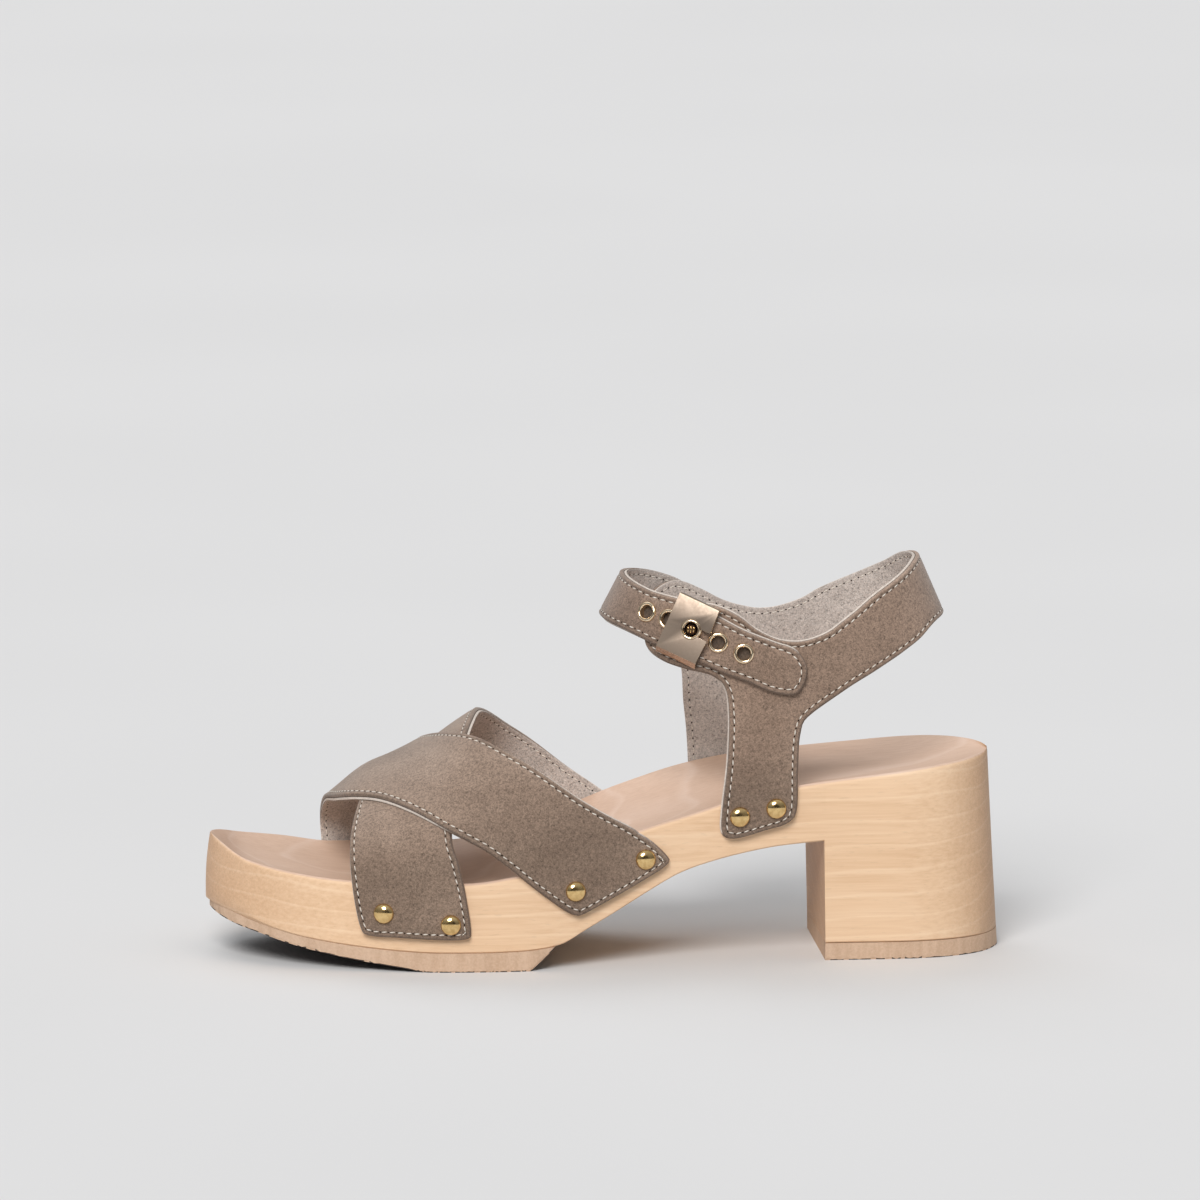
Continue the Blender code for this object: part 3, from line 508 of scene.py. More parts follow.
def finished(name, bm, nodes, materials, sharp=None, placing=None):
    """The piece in the scene, riding on the body, with its faces outward."""
    if placing is not None:
        bmesh.ops.transform(bm, matrix=placing, verts=bm.verts)
    mesh = as_mesh(name, bm)
    for material in materials:
        mesh.materials.append(material)
    mesh.shade_smooth()
    if sharp:
        mesh.set_sharp_from_angle(angle=math.radians(sharp))
    piece = added(name, mesh)
    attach(piece, "root")
    if nodes:
        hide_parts(*nodes)
    return piece


def rolled_grid(columns, rows, place):
    """A grid whose points are put where place(column, row) says, welded where they meet."""
    bm = bmesh.new()
    bmesh.ops.create_grid(bm, x_segments=columns, y_segments=rows, size=0.5)
    for vert in bm.verts:
        column = round((vert.co.x + 0.5) * columns)
        row = round((vert.co.y + 0.5) * rows)
        vert.co = place(column, row)
    bmesh.ops.remove_doubles(bm, verts=bm.verts, dist=0.000002)
    bmesh.ops.dissolve_degenerate(bm, edges=bm.edges, dist=0.000002)
    return bm


def close_holes(bm):
    edges = [edge for edge in bm.edges if edge.is_boundary]
    bmesh.ops.holes_fill(bm, edges=edges, sides=0)
    bmesh.ops.recalc_face_normals(bm, faces=bm.faces)


def cylinder(bm, radius, depth, placing, segments=24):
    bmesh.ops.create_cone(
        bm, cap_ends=True, segments=segments, radius1=radius, radius2=radius, depth=depth, matrix=placing
    )


def cut_by(piece, tool_bm):
    """Cuts a piece by a tool for good, and removes the tool."""
    bmesh.ops.recalc_face_normals(tool_bm, faces=tool_bm.faces)
    tool = added("tool", as_mesh("tool", tool_bm))
    modifier = piece.modifiers.new("cut", "BOOLEAN")
    modifier.operation = "DIFFERENCE"
    modifier.object = tool
    modifier.solver = "EXACT"
    graph = bpy.context.evaluated_depsgraph_get()
    made = bpy.data.meshes.new_from_object(piece.evaluated_get(graph))
    piece.modifiers.remove(modifier)
    piece.data = made
    bpy.data.objects.remove(tool)


# Materials


def shader_tree(name):
    material = bpy.data.materials.new(name)
    material.use_nodes = True
    tree = material.node_tree
    return material, tree, tree.nodes["Principled BSDF"]


def joined(tree, socket, value):
    """Links a socket to another one, or sets its value."""
    if isinstance(value, bpy.types.NodeSocket):
        tree.links.new(value, socket)
    else:
        socket.default_value = value


def put(tree, kind, inputs=None, **settings):
    """A node with its settings and with its input sockets set or linked."""
    node = tree.nodes.new(kind)
    for key, value in settings.items():
        setattr(node, key, value)
    for key, value in (inputs or {}).items():
        joined(tree, node.inputs[key], value)
    return node


def ramp(tree, factor, *stops):
    """A colour ramp. Columns of its stops: place, colour or grey level."""
    node = put(tree, "ShaderNodeValToRGB", {"Fac": factor})
    while len(node.color_ramp.elements) < len(stops):
        node.color_ramp.elements.new(0.5)
    for element, (place, colour) in zip(node.color_ramp.elements, stops):
        element.position = place
        element.color = (*colour, 1.0) if isinstance(colour, tuple) else (colour, colour, colour, 1.0)
    return node.outputs["Color"]


def mixed(tree, factor, a, b, blend="MIX"):
    node = put(tree, "ShaderNodeMix", data_type="RGBA", blend_type=blend)
    for key, value in (("Factor", factor), ("A", a), ("B", b)):
        socket = next(s for s in node.inputs if s.name == key and s.enabled)
        joined(tree, socket, (*value, 1.0) if isinstance(value, tuple) else value)
    return next(s for s in node.outputs if s.enabled)


def shaded(tree, colour, shade):
    return mixed(tree, 1.0, colour, shade, "MULTIPLY")


def maths(tree, operation, a, b=0.0, clamp=False):
    node = put(tree, "ShaderNodeMath", {0: a, 1: b}, operation=operation, use_clamp=clamp)
    return node.outputs["Value"]


def weighted(tree, *terms):
    """The sum of terms. Columns: value, weight."""
    total = 0.0
    for value, weight in terms:
        total = maths(tree, "ADD", maths(tree, "MULTIPLY", value, weight), total)
    return total


def noise(tree, coordinates, scale, detail=2.0, roughness=0.5, distortion=0.0):
    inputs = {"Vector": coordinates, "Scale": scale, "Detail": detail, "Roughness": roughness}
    node = put(tree, "ShaderNodeTexNoise", {**inputs, "Distortion": distortion})
    return node.outputs["Fac"]


def object_points(tree, scale=(1.0, 1.0, 1.0)):
    source = put(tree, "ShaderNodeTexCoord").outputs["Object"]
    return put(tree, "ShaderNodeMapping", {"Vector": source, "Scale": scale}).outputs["Vector"]


def split(tree, vector):
    return put(tree, "ShaderNodeSeparateXYZ", {"Vector": vector}).outputs


def dressed(tree, shader, colour, roughness, specular=0.5, relief=None, sheen=0.0):
    """Sets up the shader. Columns of the relief: height, strength, depth."""
    joined(tree, shader.inputs["Base Color"], colour)
    joined(tree, shader.inputs["Roughness"], roughness)
    shader.inputs["Specular IOR Level"].default_value = specular
    shader.inputs["Sheen Weight"].default_value = sheen
    if relief:
        bump = put(tree, "ShaderNodeBump", dict(zip(("Height", "Strength", "Distance"), relief)))
        tree.links.new(bump.outputs["Normal"], shader.inputs["Normal"])


def nap_group():
    """Short raised fibres: a height and a shade that vary from speck to patch."""
    group = bpy.data.node_groups.new("nap", "ShaderNodeTree")
    socket = group.interface.new_socket(name="Spread", in_out="INPUT", socket_type="NodeSocketFloat")
    socket.default_value = 1.0
    for name in ("Speck", "Patch"):
        group.interface.new_socket(name=name, in_out="OUTPUT", socket_type="NodeSocketFloat")
    entry = group.nodes.new("NodeGroupInput")
    leave = group.nodes.new("NodeGroupOutput")
    points = object_points(group)
    fine = noise(group, points, 2500.0, 3.0, 0.7)
    coarse = noise(group, points, 1200.0, 2.0, 0.6, 0.4)
    cloud = noise(group, points, 30.0, 3.0, 0.5, 0.6)
    streak = noise(group, object_points(group, (70.0, 70.0, 190.0)), 1.0, 2.0, 0.5)
    patch = maths(group, "SUBTRACT", weighted(group, (cloud, 0.7), (streak, 0.3)), 0.5)
    patch = maths(group, "MULTIPLY", patch, entry.outputs["Spread"])
    group.links.new(weighted(group, (fine, 0.6), (coarse, 0.4)), leave.inputs["Speck"])
    group.links.new(maths(group, "ADD", patch, 0.5, clamp=True), leave.inputs["Patch"])
    return group


NAP = nap_group()


def placed_nap(tree, spread):
    """The nap's speck and patch."""
    node = put(tree, "ShaderNodeGroup", {}, node_tree=NAP)
    node.inputs["Spread"].default_value = spread
    return node.outputs["Speck"], node.outputs["Patch"]


def facing(tree, axis):
    """How far the surface faces along an axis of the shoe."""
    return split(tree, put(tree, "ShaderNodeTexCoord").outputs["Normal"])[axis]


def suede_material():
    """Nubuck: matt grey-brown with soft patches; painted light makes it lighter where it faces up and towards
    the ankle's rear, and painted shade makes it a little darker in the stitched furrow and at its edges.
    """
    material, tree, shader = shader_tree("grey_brown_suede")
    speck, patch = placed_nap(tree, 1.3)
    colour = ramp(tree, patch, (0.25, (0.185, 0.128, 0.094)), (0.75, (0.285, 0.205, 0.155)))
    colour = shaded(tree, colour, ramp(tree, speck, (0.36, 0.50), (0.5, 1.0), (0.64, 1.42)))
    # Painted light: faces that turn up are lighter, upright and downward ones a little darker.
    upturned_painted_light = ramp(tree, facing(tree, "Z"), (0.0, (0.88, 0.88, 0.87)), (0.25, 1.0), (0.8, (1.30, 1.34, 1.38)))
    colour = shaded(tree, colour, upturned_painted_light)
    # Painted light and shade on the high pieces above 52 mm: darker at their front, lighter towards the rear.
    place = split(tree, object_points(tree))
    rearward_painted_light = maths(tree, "MULTIPLY", maths(tree, "ADD", place["X"], 0.03), 15.0)
    front, middle, rear = (0.87, 0.85, 0.85), (0.91, 0.89, 0.89), (1.23, 1.21, 1.21)
    rearward_painted_light = ramp(tree, rearward_painted_light, (0.18, 1.0), (0.36, front), (0.58, middle), (0.94, rear))
    upward = maths(tree, "MULTIPLY", maths(tree, "SUBTRACT", place["Z"], 0.052), 70.0)
    colour = mixed(tree, ramp(tree, upward, (0.0, 0.0), (1.0, 1.0)), colour, shaded(tree, colour, rearward_painted_light))
    # Painted shade: darker at the cut edge and in the stitched furrow.
    edge = put(tree, "ShaderNodeAttribute", attribute_name="edge").outputs["Fac"]
    edge = maths(tree, "DIVIDE", edge, 0.006, clamp=True)
    rim = ramp(tree, edge, (0.0, 0.85), (0.12, 0.93), (0.26, 0.92), (0.32, 0.74), (0.40, 1.0))
    dressed(tree, shader, shaded(tree, colour, rim), 0.92, 0.18, (speck, 0.55, 0.00035), 0.22)
    shader.inputs["Sheen Roughness"].default_value = 0.55
    return material


def lining_material():
    """Flesh side: pale grey-beige, mottled with dark specks and pulled fibres."""
    material, tree, shader = shader_tree("flesh_side")
    speck, patch = placed_nap(tree, 1.2)
    colour = ramp(tree, patch, (0.3, (0.49, 0.425, 0.385)), (0.7, (0.66, 0.595, 0.550)))
    specks = ramp(tree, speck, (0.34, 0.36), (0.46, 0.84), (0.56, 1.06), (0.66, 1.30))
    dressed(tree, shader, shaded(tree, colour, specks), 0.95, 0.15, (speck, 0.8, 0.0005), 0.2)
    return material


def cut_edge_material():
    """The cut edge of the doubled leather: pale where it faces up or to the toe, with painted shade making it
    dark elsewhere.
    """
    material, tree, shader = shader_tree("cut_edge")
    speck, _ = placed_nap(tree, 1.0)
    pale = ramp(tree, speck, (0.3, (0.50, 0.43, 0.38)), (0.7, (0.82, 0.74, 0.67)))
    # Painted shade: the pale edge turns dark where it faces sideways, down or to the heel.
    shaded_edge_tone = ramp(tree, speck, (0.3, (0.17, 0.12, 0.09)), (0.7, (0.30, 0.22, 0.17)))
    lit_facing = weighted(tree, (facing(tree, "Z"), 1.0), (facing(tree, "X"), -0.9))
    colour = mixed(tree, ramp(tree, lit_facing, (0.02, 0.0), (0.30, 1.0)), shaded_edge_tone, pale)
    dressed(tree, shader, colour, 0.9, 0.2, (speck, 0.7, 0.0004))
    return material


def layer_line_material():
    """The dark glued line between the two leathers."""
    material, tree, shader = shader_tree("layer_line")
    speck, _ = placed_nap(tree, 1.0)
    colour = ramp(tree, speck, (0.35, (0.060, 0.045, 0.036)), (0.65, (0.13, 0.10, 0.08)))
    dressed(tree, shader, colour, 0.95, 0.1)
    return material


def wood_material():
    """Pale close-grained wood: fine fibres and thin light growth lines, darker on its end grain, with painted
    shade on the faces that turn up.
    """
    material, tree, shader = shader_tree("pale_wood")
    warp = noise(tree, object_points(tree, (7.0, 16.0, 16.0)), 1.0, 2.0, 0.5)
    place = split(tree, object_points(tree))
    level = weighted(tree, (place["Z"], 1.0), (place["Y"], -0.17), (place["X"], -0.04), (warp, 0.020))
    uneven = noise(tree, object_points(tree, (3.0, 25.0, 25.0)), 1.0, 1.0, 0.5)
    layer = maths(tree, "FRACT", weighted(tree, (level, 150.0), (uneven, 1.0)))
    rings = ramp(tree, layer, (0.0, 0.44), (0.80, 0.46), (0.93, 1.0), (1.0, 0.44))
    fibre = noise(tree, object_points(tree, (30.0, 1100.0, 1100.0)), 1.0, 3.0, 0.6)
    broad = noise(tree, object_points(tree, (4.0, 30.0, 55.0)), 1.0, 3.0, 0.55)
    tone = weighted(tree, (rings, 0.22), (fibre, 0.38), (broad, 0.40))
    dark, even, light = (0.715, 0.474, 0.290), (0.800, 0.558, 0.362), (0.865, 0.640, 0.442)
    colour = ramp(tree, tone, (0.36, dark), (0.50, even), (0.66, light))
    pore = noise(tree, object_points(tree, (260.0, 2200.0, 2200.0)), 1.0, 1.0, 0.5)
    colour = shaded(tree, colour, ramp(tree, pore, (0.26, 0.93), (0.36, 1.0)))

    end_on = ramp(tree, maths(tree, "ABSOLUTE", facing(tree, "X")), (0.35, 0.0), (0.95, 1.0))
    dots = noise(tree, object_points(tree), 1900.0, 2.0, 0.6)
    dots = ramp(tree, dots, (0.35, (0.70, 0.635, 0.605)), (0.6, (0.82, 0.755, 0.72)))
    colour = mixed(tree, end_on, colour, shaded(tree, colour, dots))
    # Painted shade: faces that turn up, such as the footbed, are darker and greyer.
    upward = ramp(tree, facing(tree, "Z"), (0.55, 0.0), (0.85, 1.0))
    colour = mixed(tree, upward, colour, shaded(tree, colour, (0.850, 0.858, 1.0)))
    rough = ramp(tree, fibre, (0.3, 0.50), (0.7, 0.62))
    dressed(tree, shader, colour, rough, 0.35, (fibre, 0.10, 0.0002))
    return material


def rubber_material():
    """Beige rubber with a ground edge: fine rough speckle and faint vertical grinding marks."""
    material, tree, shader = shader_tree("beige_rubber")
    speck = noise(tree, object_points(tree), 1500.0, 2.0, 0.6)
    marks = noise(tree, object_points(tree, (420.0, 420.0, 60.0)), 1.0, 2.0, 0.5)
    tone = weighted(tree, (speck, 0.5), (marks, 0.5))
    colour = ramp(tree, tone, (0.35, (0.56, 0.385, 0.265)), (0.65, (0.68, 0.49, 0.355)))
    dressed(tree, shader, colour, 0.8, 0.3, (tone, 0.35, 0.0003))
    return material


def speckled(name, grain, dark, light, roughness, specular=0.5, bump=()):
    """Two tones in specks. Columns of the grain: scale, detail, roughness. Of a tone: place, colour."""
    material, tree, shader = shader_tree(name)
    speck = noise(tree, object_points(tree), *grain)
    dressed(tree, shader, ramp(tree, speck, dark, light), roughness, specular, bump and (speck, *bump))
    return material


def metal_material(name, colour, worn, low, high):
    """Polished metal with faint scuffs."""
    material, tree, shader = shader_tree(name)
    scuff = noise(tree, object_points(tree), 700.0, 3.0, 0.6)
    rough = ramp(tree, scuff, (0.3, high), (0.65, low))
    dressed(tree, shader, ramp(tree, scuff, (0.35, worn), (0.6, colour)), rough)
    shader.inputs["Metallic"].default_value = 1.0
    return material


WOOD = wood_material()
RUBBER_BEIGE = rubber_material()
SUEDE_BROWN = suede_material()
FLESH_SIDE = lining_material()
EDGE_PALE = cut_edge_material()
# Dark glue line, also the painted shade at the bottom of the eyelets.
GLUE_LINE_AND_HOLE_SHADE = layer_line_material()
# The rubber's dark foot: partly a dark tread, partly painted contact shadow.
TREAD_AND_CONTACT_SHADOW_TONES = ((0.35, (0.030, 0.022, 0.018)), (0.65, (0.085, 0.062, 0.050)))
DARK_TREAD_AND_CONTACT_SHADOW = speckled("dark_tread_and_contact_shadow", (1300.0, 2.0, 0.6), *TREAD_AND_CONTACT_SHADOW_TONES, 0.9, bump=(0.4, 0.0003))
THREAD_TONES = ((0.3, (0.52, 0.46, 0.40)), (0.6, (0.80, 0.75, 0.68)))
THREAD = speckled("off_white_thread", (3200.0, 1.0, 0.5), *THREAD_TONES, 0.8, bump=(0.5, 0.0002))
# Painted shade: dark specks in the needle holes beside the stitches.
NEEDLE_HOLE_SHADE = speckled(
    "needle_hole_shade", (2500.0, 1.0, 0.5), (0.3, (0.012, 0.009, 0.008)), (0.7, (0.040, 0.030, 0.024)), 1.0, 0.05
)
BRASS = metal_material("tack_brass", (0.86, 0.62, 0.29), (0.70, 0.47, 0.20), 0.10, 0.20)
PALE_GOLD = metal_material("pale_gold", (0.93, 0.76, 0.55), (0.84, 0.64, 0.42), 0.10, 0.20)
# The plate's face: gold darkened to brown, a painted dark reflection.
SATIN_GOLD_PAINTED_DARK = metal_material("satin_gold_painted_dark", (0.275, 0.217, 0.172), (0.25, 0.195, 0.153), 0.38, 0.44)
COPPER_LIP = metal_material("copper_lip", (0.50, 0.375, 0.29), (0.40, 0.29, 0.22), 0.22, 0.34)
# The stud: brass darkened with the painted shade of the plate's hole.
BRASS_IN_HOLE_SHADE = metal_material("brass_in_hole_shade", (0.10, 0.055, 0.035), (0.06, 0.032, 0.020), 0.35, 0.5)
LEATHER_FINISHES = (FLESH_SIDE, EDGE_PALE, SUEDE_BROWN, GLUE_LINE_AND_HOLE_SHADE)


# Sole


def rounded_toe(first, count):
    """Places round the toe, closer together at its tip."""
    span = TOE_ROUND - first
    return [first + span * (1 - math.cos(math.pi / 2 * k / count)) for k in range(count)]


def rounded_heel(straight, count):
    """Places from the breast to the heel's rear, closer together there."""
    end = SOLE_LENGTH - HEEL_FLARE
    tail = [end - HEEL_ROUND * (1 - math.cos(math.pi / 2 * k / count)) for k in range(count)]
    return list(np.linspace(BREAST_PLACE + GAP, end - HEEL_ROUND, straight)) + tail[::-1]


def spread_places():
    """Places along the sole, close together at the round ends and at the breast."""
    waist = list(np.linspace(TOE_ROUND, BREAST_PLACE - GAP, WAIST_COLUMNS))
    return rounded_toe(0.0, ROUND_COLUMNS) + waist + rounded_heel(HEEL_COLUMNS, ROUND_COLUMNS)


def sole_section(s):
    """The sole's outline across at a place: outer side up, over the footbed, inner side down."""
    under = wood_underside(s)
    sides = []
    for side in (-1, 1):
        rim = rim_height(s, side)
        edge = min(RIM_ROUND, plan_half(s) * NARROWEST)
        foot = FOOT_ROUND + TOE_FOOT_ROUND * (1 - eased(s / (SOLE_LENGTH * TUCK_RUN * 2)))
        foot = min(foot, plan_half(s) * NARROWEST)
        flank = [(wood_side(s, under, side) - side * foot, under)]
        for share in (0.0, 0.2, 0.4, 0.6, 0.8, 1.0):
            z = under + foot + (rim - edge - under - foot) * share
            flank.append((wood_side(s, z, side), z))
        wall = flank[-1][0]
        for step in (1, 2, 3, 4):
            angle = math.pi / 2 * step / 4
            flank.append((wall - side * edge * (1 - math.cos(angle)), rim - edge + edge * math.sin(angle)))
        sides.append(flank)
    outer, inner = sides
    depth = FOOTBED_DEPTH * dish_share(s / SOLE_LENGTH)
    bed = []
    for share in (1 - math.cos(math.pi * k / 22) for k in range(1, 22)):
        share /= 2
        y = outer[-1][0] + (inner[-1][0] - outer[-1][0]) * share
        z = outer[-1][1] + (inner[-1][1] - outer[-1][1]) * share
        bed.append((y, z - depth * (1 - abs(2 * share - 1) ** 3)))
    floor = [(inner[0][0] + (outer[0][0] - inner[0][0]) * k / 4, under) for k in range(1, 4)]
    return outer + bed + inner[::-1] + floor


def make_wood_sole():
    places = spread_places()
    sections = [sole_section(s) for s in places]
    rows = len(sections[0])

    def place(column, row):
        s = places[column]
        y, z = sections[column][row % rows]
        return Vector((along(s, z), y, z)) + TOE_TIP

    bm = rolled_grid(len(places) - 1, rows, place)
    close_holes(bm)
    return finished("carved_sole", bm, ["wood_sole"], [WOOD], 32)


def rubber_top(s):
    return wood_underside(s) - GAP / 6


def slanted_tread(s):
    """The forefoot's tread, with its rear end cut off at a slant over the whole thickness."""
    start = RUBBER_END - RUBBER_BEVEL
    share = max((s - start) / (RUBBER_BEVEL + RUBBER_SLANT), 0.0)
    low = tread_height(min(s, start))
    return low + (rubber_top(s) - THIN_END - low) * share


def make_slab(name, node, places, top, bottom, setback):
    """A rubber layer with a thin dark tread, partly painted contact shadow, whose edge is ragged at its foot.
    """
    wander = random.Random(len(name))
    last = len(places) - 1
    nicks = [[wander.uniform(-1, 1) ** 3 for _ in range(2)] for _ in places]

    def section(index, s):
        sides = []
        for side, nick in zip((-1, 1), nicks[index]):
            low, high = bottom(s), top(s)
            tread = low + min(TREAD_AND_SHADOW_LINE * (1 + nick), (high - low) * 0.4)
            trims = ((high, 0.0), (tread, RUBBER_TRIM * 0.6))
            trims += ((tread - TREAD_STEP, RUBBER_TRIM), (low, RUBBER_TRIM))
            rows = []
            for z, trim in trims:
                taper = abs(wood_side(s, z, side) - plan_centre(s)) - plan_half(s)
                half = plan_half(s, setback)
                ragged = abs(nick) * NICK if z < high and 0 < index < last else 0.0
                width = max(half + taper - trim - ragged, half * (1 - NARROWEST))
                rows.append((plan_centre(s) + side * width, z))
            sides.append(rows)
        return sides[0] + sides[1][::-1]

    sections = [section(index, s) for index, s in enumerate(places)]

    def place(column, row):
        y, z = sections[column][row % 8]
        return Vector((along(places[column], z), y, z)) + TOE_TIP

    bm = rolled_grid(len(places) - 1, 8, place)
    close_holes(bm)
    # Faces in the band at the foot take the dark tread and painted contact shadow.
    for face in bm.faces:
        middle = face.calc_center_median()
        low = bottom(middle.x - TOE_TIP.x)
        face.material_index = 1 if middle.z - low < TREAD_AND_SHADOW_LINE * 0.5 and len(face.verts) < 8 else 0
    return finished(name, bm, [node], [RUBBER_BEIGE, DARK_TREAD_AND_CONTACT_SHADOW], 32)


def make_rubber():
    start = RUBBER_END - RUBBER_BEVEL
    slant = [start + RUBBER_BEVEL / 2, RUBBER_END + RUBBER_SLANT / 2, RUBBER_END + RUBBER_SLANT]
    middle = list(np.linspace(TOE_ROUND, start, TREAD_COLUMNS))
    places = rounded_toe(RUBBER_SETBACK, TREAD_COLUMNS) + middle + slant
    make_slab("forefoot_rubber", "outsole_forefoot", places, rubber_top, slanted_tread, RUBBER_SETBACK)
    places = rounded_heel(LIFT_COLUMNS, LIFT_ROUND_COLUMNS)
    make_slab("heel_rubber", "heel_lift", places, lambda s: LIFT, lambda s: 0.0, 0.0)


# Straps


def distance_outside(point, a, b):
    """How far a point lies outside an outline that runs from each a to its b, 0 within it."""
    p = np.array(point)
    crossing = (a[:, 1] > p[1]) != (b[:, 1] > p[1])
    rise = np.where(crossing, b[:, 1] - a[:, 1], 1.0)
    at = a[:, 0] + (p[1] - a[:, 1]) * (b[:, 0] - a[:, 0]) / rise
    if np.count_nonzero(crossing & (p[0] < at)) % 2:
        return 0.0
    edge = b - a
    t = np.clip(((p - a) * edge).sum(axis=1) / (edge * edge).sum(axis=1), 0, 1)
    return float(np.sqrt((((a + edge * t[:, None]) - p) ** 2).sum(axis=1).min()))


def cut_across(bm, cells):
    """Cuts the flat pattern along lines of equal u and of equal v, so that it can bend."""
    for axis, step in enumerate(cells):
        values = [vert.co[axis] for vert in bm.verts]
        count = int((max(values) - min(values)) / step)
        normal = Vector((1, 0, 0)) if axis == 0 else Vector((0, 1, 0))
        for k in range(count):
            cut = min(values) + (max(values) - min(values)) * (k + 0.5) / count
            geometry = bm.verts[:] + bm.edges[:] + bm.faces[:]
            bmesh.ops.bisect_plane(bm, geom=geometry, dist=1e-7, plane_co=normal * cut, plane_no=normal)


def edge_shades(bm, skin, rise, outline):
    """Writes each point's distance from the cut edge to the attribute that the leather reads."""
    tree = KDTree(len(outline))
    for index, (u, v) in enumerate(outline):
        tree.insert(skin.point(u, v, rise(u, v)) + TOE_TIP, index)
    tree.balance()
    layer = bm.verts.layers.float.new("edge")
    for vert in bm.verts:
        vert[layer] = tree.find(vert.co)[2]


def leather_piece(name, seam, rows, skin, rise, cells, node):
    """A doubled leather strap from its outline, furrowed and stitched at its seam and bent over the foot."""
    outline = anticlockwise(evened(smooth_outline(rows), skin, OUTLINE_STEP))
    count = len(outline)
    insets = {ring[0] for ring in EDGE_RINGS}
    moved = {inset: [skin.inset(outline, i, inset) for i in range(count)] for inset in insets}
    spans = len(EDGE_RINGS) - 1
    bm = bmesh.new()
    bmesh.ops.create_grid(bm, x_segments=count, y_segments=spans, size=0.5)
    for face in bm.faces:
        face.material_index = EDGE_RINGS[int((face.calc_center_median().y + 0.5) * spans)][2]
    for vert in bm.verts:
        inset, height, _ = EDGE_RINGS[round((vert.co.y + 0.5) * spans)]
        vert.co = (*moved[inset][round((vert.co.x + 0.5) * count) % count], height)
    bmesh.ops.remove_doubles(bm, verts=bm.verts, dist=0.0000005)
    old = set(bm.faces)
    edges = [edge for edge in bm.edges if edge.is_boundary]
    bmesh.ops.holes_fill(bm, edges=edges, sides=0)
    for face in bm.faces:
        if face not in old:
            face.material_index = SUEDE if face.calc_center_median().z > LEATHER / 2 else LINING
    cut_across(bm, cells)
    for vert in bm.verts:
        u, v, height = vert.co
        vert.co = skin.point(u, v, rise(u, v) + height) + TOE_TIP
    bmesh.ops.recalc_face_normals(bm, faces=bm.faces)
    edge_shades(bm, skin, lambda u, v: rise(u, v) + LEATHER / 2, outline)
    stitched(seam, [skin.inset(outline, i, STITCH_INSET) for i in range(count)], skin, rise)
    return finished(name, bm, [node], LEATHER_FINISHES, 50)


def small_ball(name, columns, rows, size):
    """A low ball to copy, longest along X."""
    bm = bmesh.new()
    turn = Matrix.Rotation(math.pi / 2, 4, "Y")
    bmesh.ops.create_uvsphere(bm, u_segments=columns, v_segments=rows, radius=0.5, matrix=turn)
    bmesh.ops.scale(bm, verts=bm.verts, vec=size)
    return as_mesh(name, bm)


def copied_in(bm, mesh, placing):
    """Adds a placed copy of a small mesh."""
    bm.from_mesh(mesh)
    bm.verts.ensure_lookup_table()
    for index in range(len(bm.verts) - len(mesh.vertices), len(bm.verts)):
        vert = bm.verts[index]
        vert.co = placing @ vert.co


def stitch_row(thread, holes, path, skin, rise, inner):
    """Stitches and the painted shade of their needle holes along a closed path of the pattern, on the suede
    or on the lining.
    """
    path = evened(path, skin, STITCH_PITCH)
    depth = FURROW * 0.45 if inner else LEATHER - FURROW * 0.8
    places = [skin.point(u, v, rise(u, v) + depth) + TOE_TIP for u, v in path]
    for (u, v), here, there in zip(path, places, places[1:] + places[:1]):
        x = (there - here).normalized()
        y = (skin.out(u, v) * (-1 if inner else 1)).cross(x).normalized()
        placing = Matrix((x, y, x.cross(y))).transposed().to_4x4()
        tilt = Matrix.Rotation(STITCH_TURN, 4, "Z")
        copied_in(thread, STITCH, Matrix.Translation((here + there) / 2) @ placing @ tilt)
        copied_in(holes, PUNCTURE, Matrix.Translation(here) @ placing)


def stitched(name, path, skin, rise):
    """One piece of thread and one of painted needle-hole shade for both sides of a strap's seam."""
    thread, holes = bmesh.new(), bmesh.new()
    for inner in (False, True):
        stitch_row(thread, holes, path, skin, rise, inner)
    finished(name + "_thread", thread, [], [THREAD])
    finished(name + "_needle_hole_shades", holes, [], [NEEDLE_HOLE_SHADE])


def vamp_rows(rows):
    return [(place * SOLE_LENGTH, way * VAMP_GIRTH) for place, way in rows]


def ankle_rows(rows):
    return [(turn, share * ANKLE_TOP) for turn, share in rows]


def flat(u, v):
    return 0.0


def make_vamp():
    """The two straps that cross over the forefoot."""
    under = np.array(smooth_outline(vamp_rows(STRAP_UNDER)))
    following = np.roll(under, -1, axis=0)

    def riding(u, v):
        outside = distance_outside((u, v), under, following)
        return (LEATHER + CROSSING_GAP) * eased(1 - outside / CROSSING_RAMP)

    cells = (STRAP_CELL, STRAP_CELL)
    for name, rows, rise in (("under", STRAP_UNDER, flat), ("over", STRAP_OVER, riding)):
        strap, seam = f"vamp_strap_{name}", f"vamp_{name}"
        leather_piece(strap, seam, vamp_rows(rows), VAMP_SKIN, rise, cells, "vamp_straps")


def make_ankle():
    """The quarter, and over it the buckle strap."""

    def outside(u, v):
        return LEATHER + GAP

    inner = [(-turn, share) for turn, share in reversed(QUARTER_INNER + QUARTER_HEEL)]
    cells = (ANKLE_CELL_TURN, STRAP_CELL)
    rows = ankle_rows(list(QUARTER_OUTER + QUARTER_HEEL) + inner)
    leather_piece("quarter", "quarter", rows, ANKLE_SKIN, flat, cells, "ankle_quarter")
    rows = ankle_rows(BUCKLE_STRAP)
    piece = leather_piece("strap_with_eyelets", "strap", rows, ANKLE_SKIN, outside, cells, "buckle_strap")
    cut_by(piece, eyelet_holes())


# Metal parts


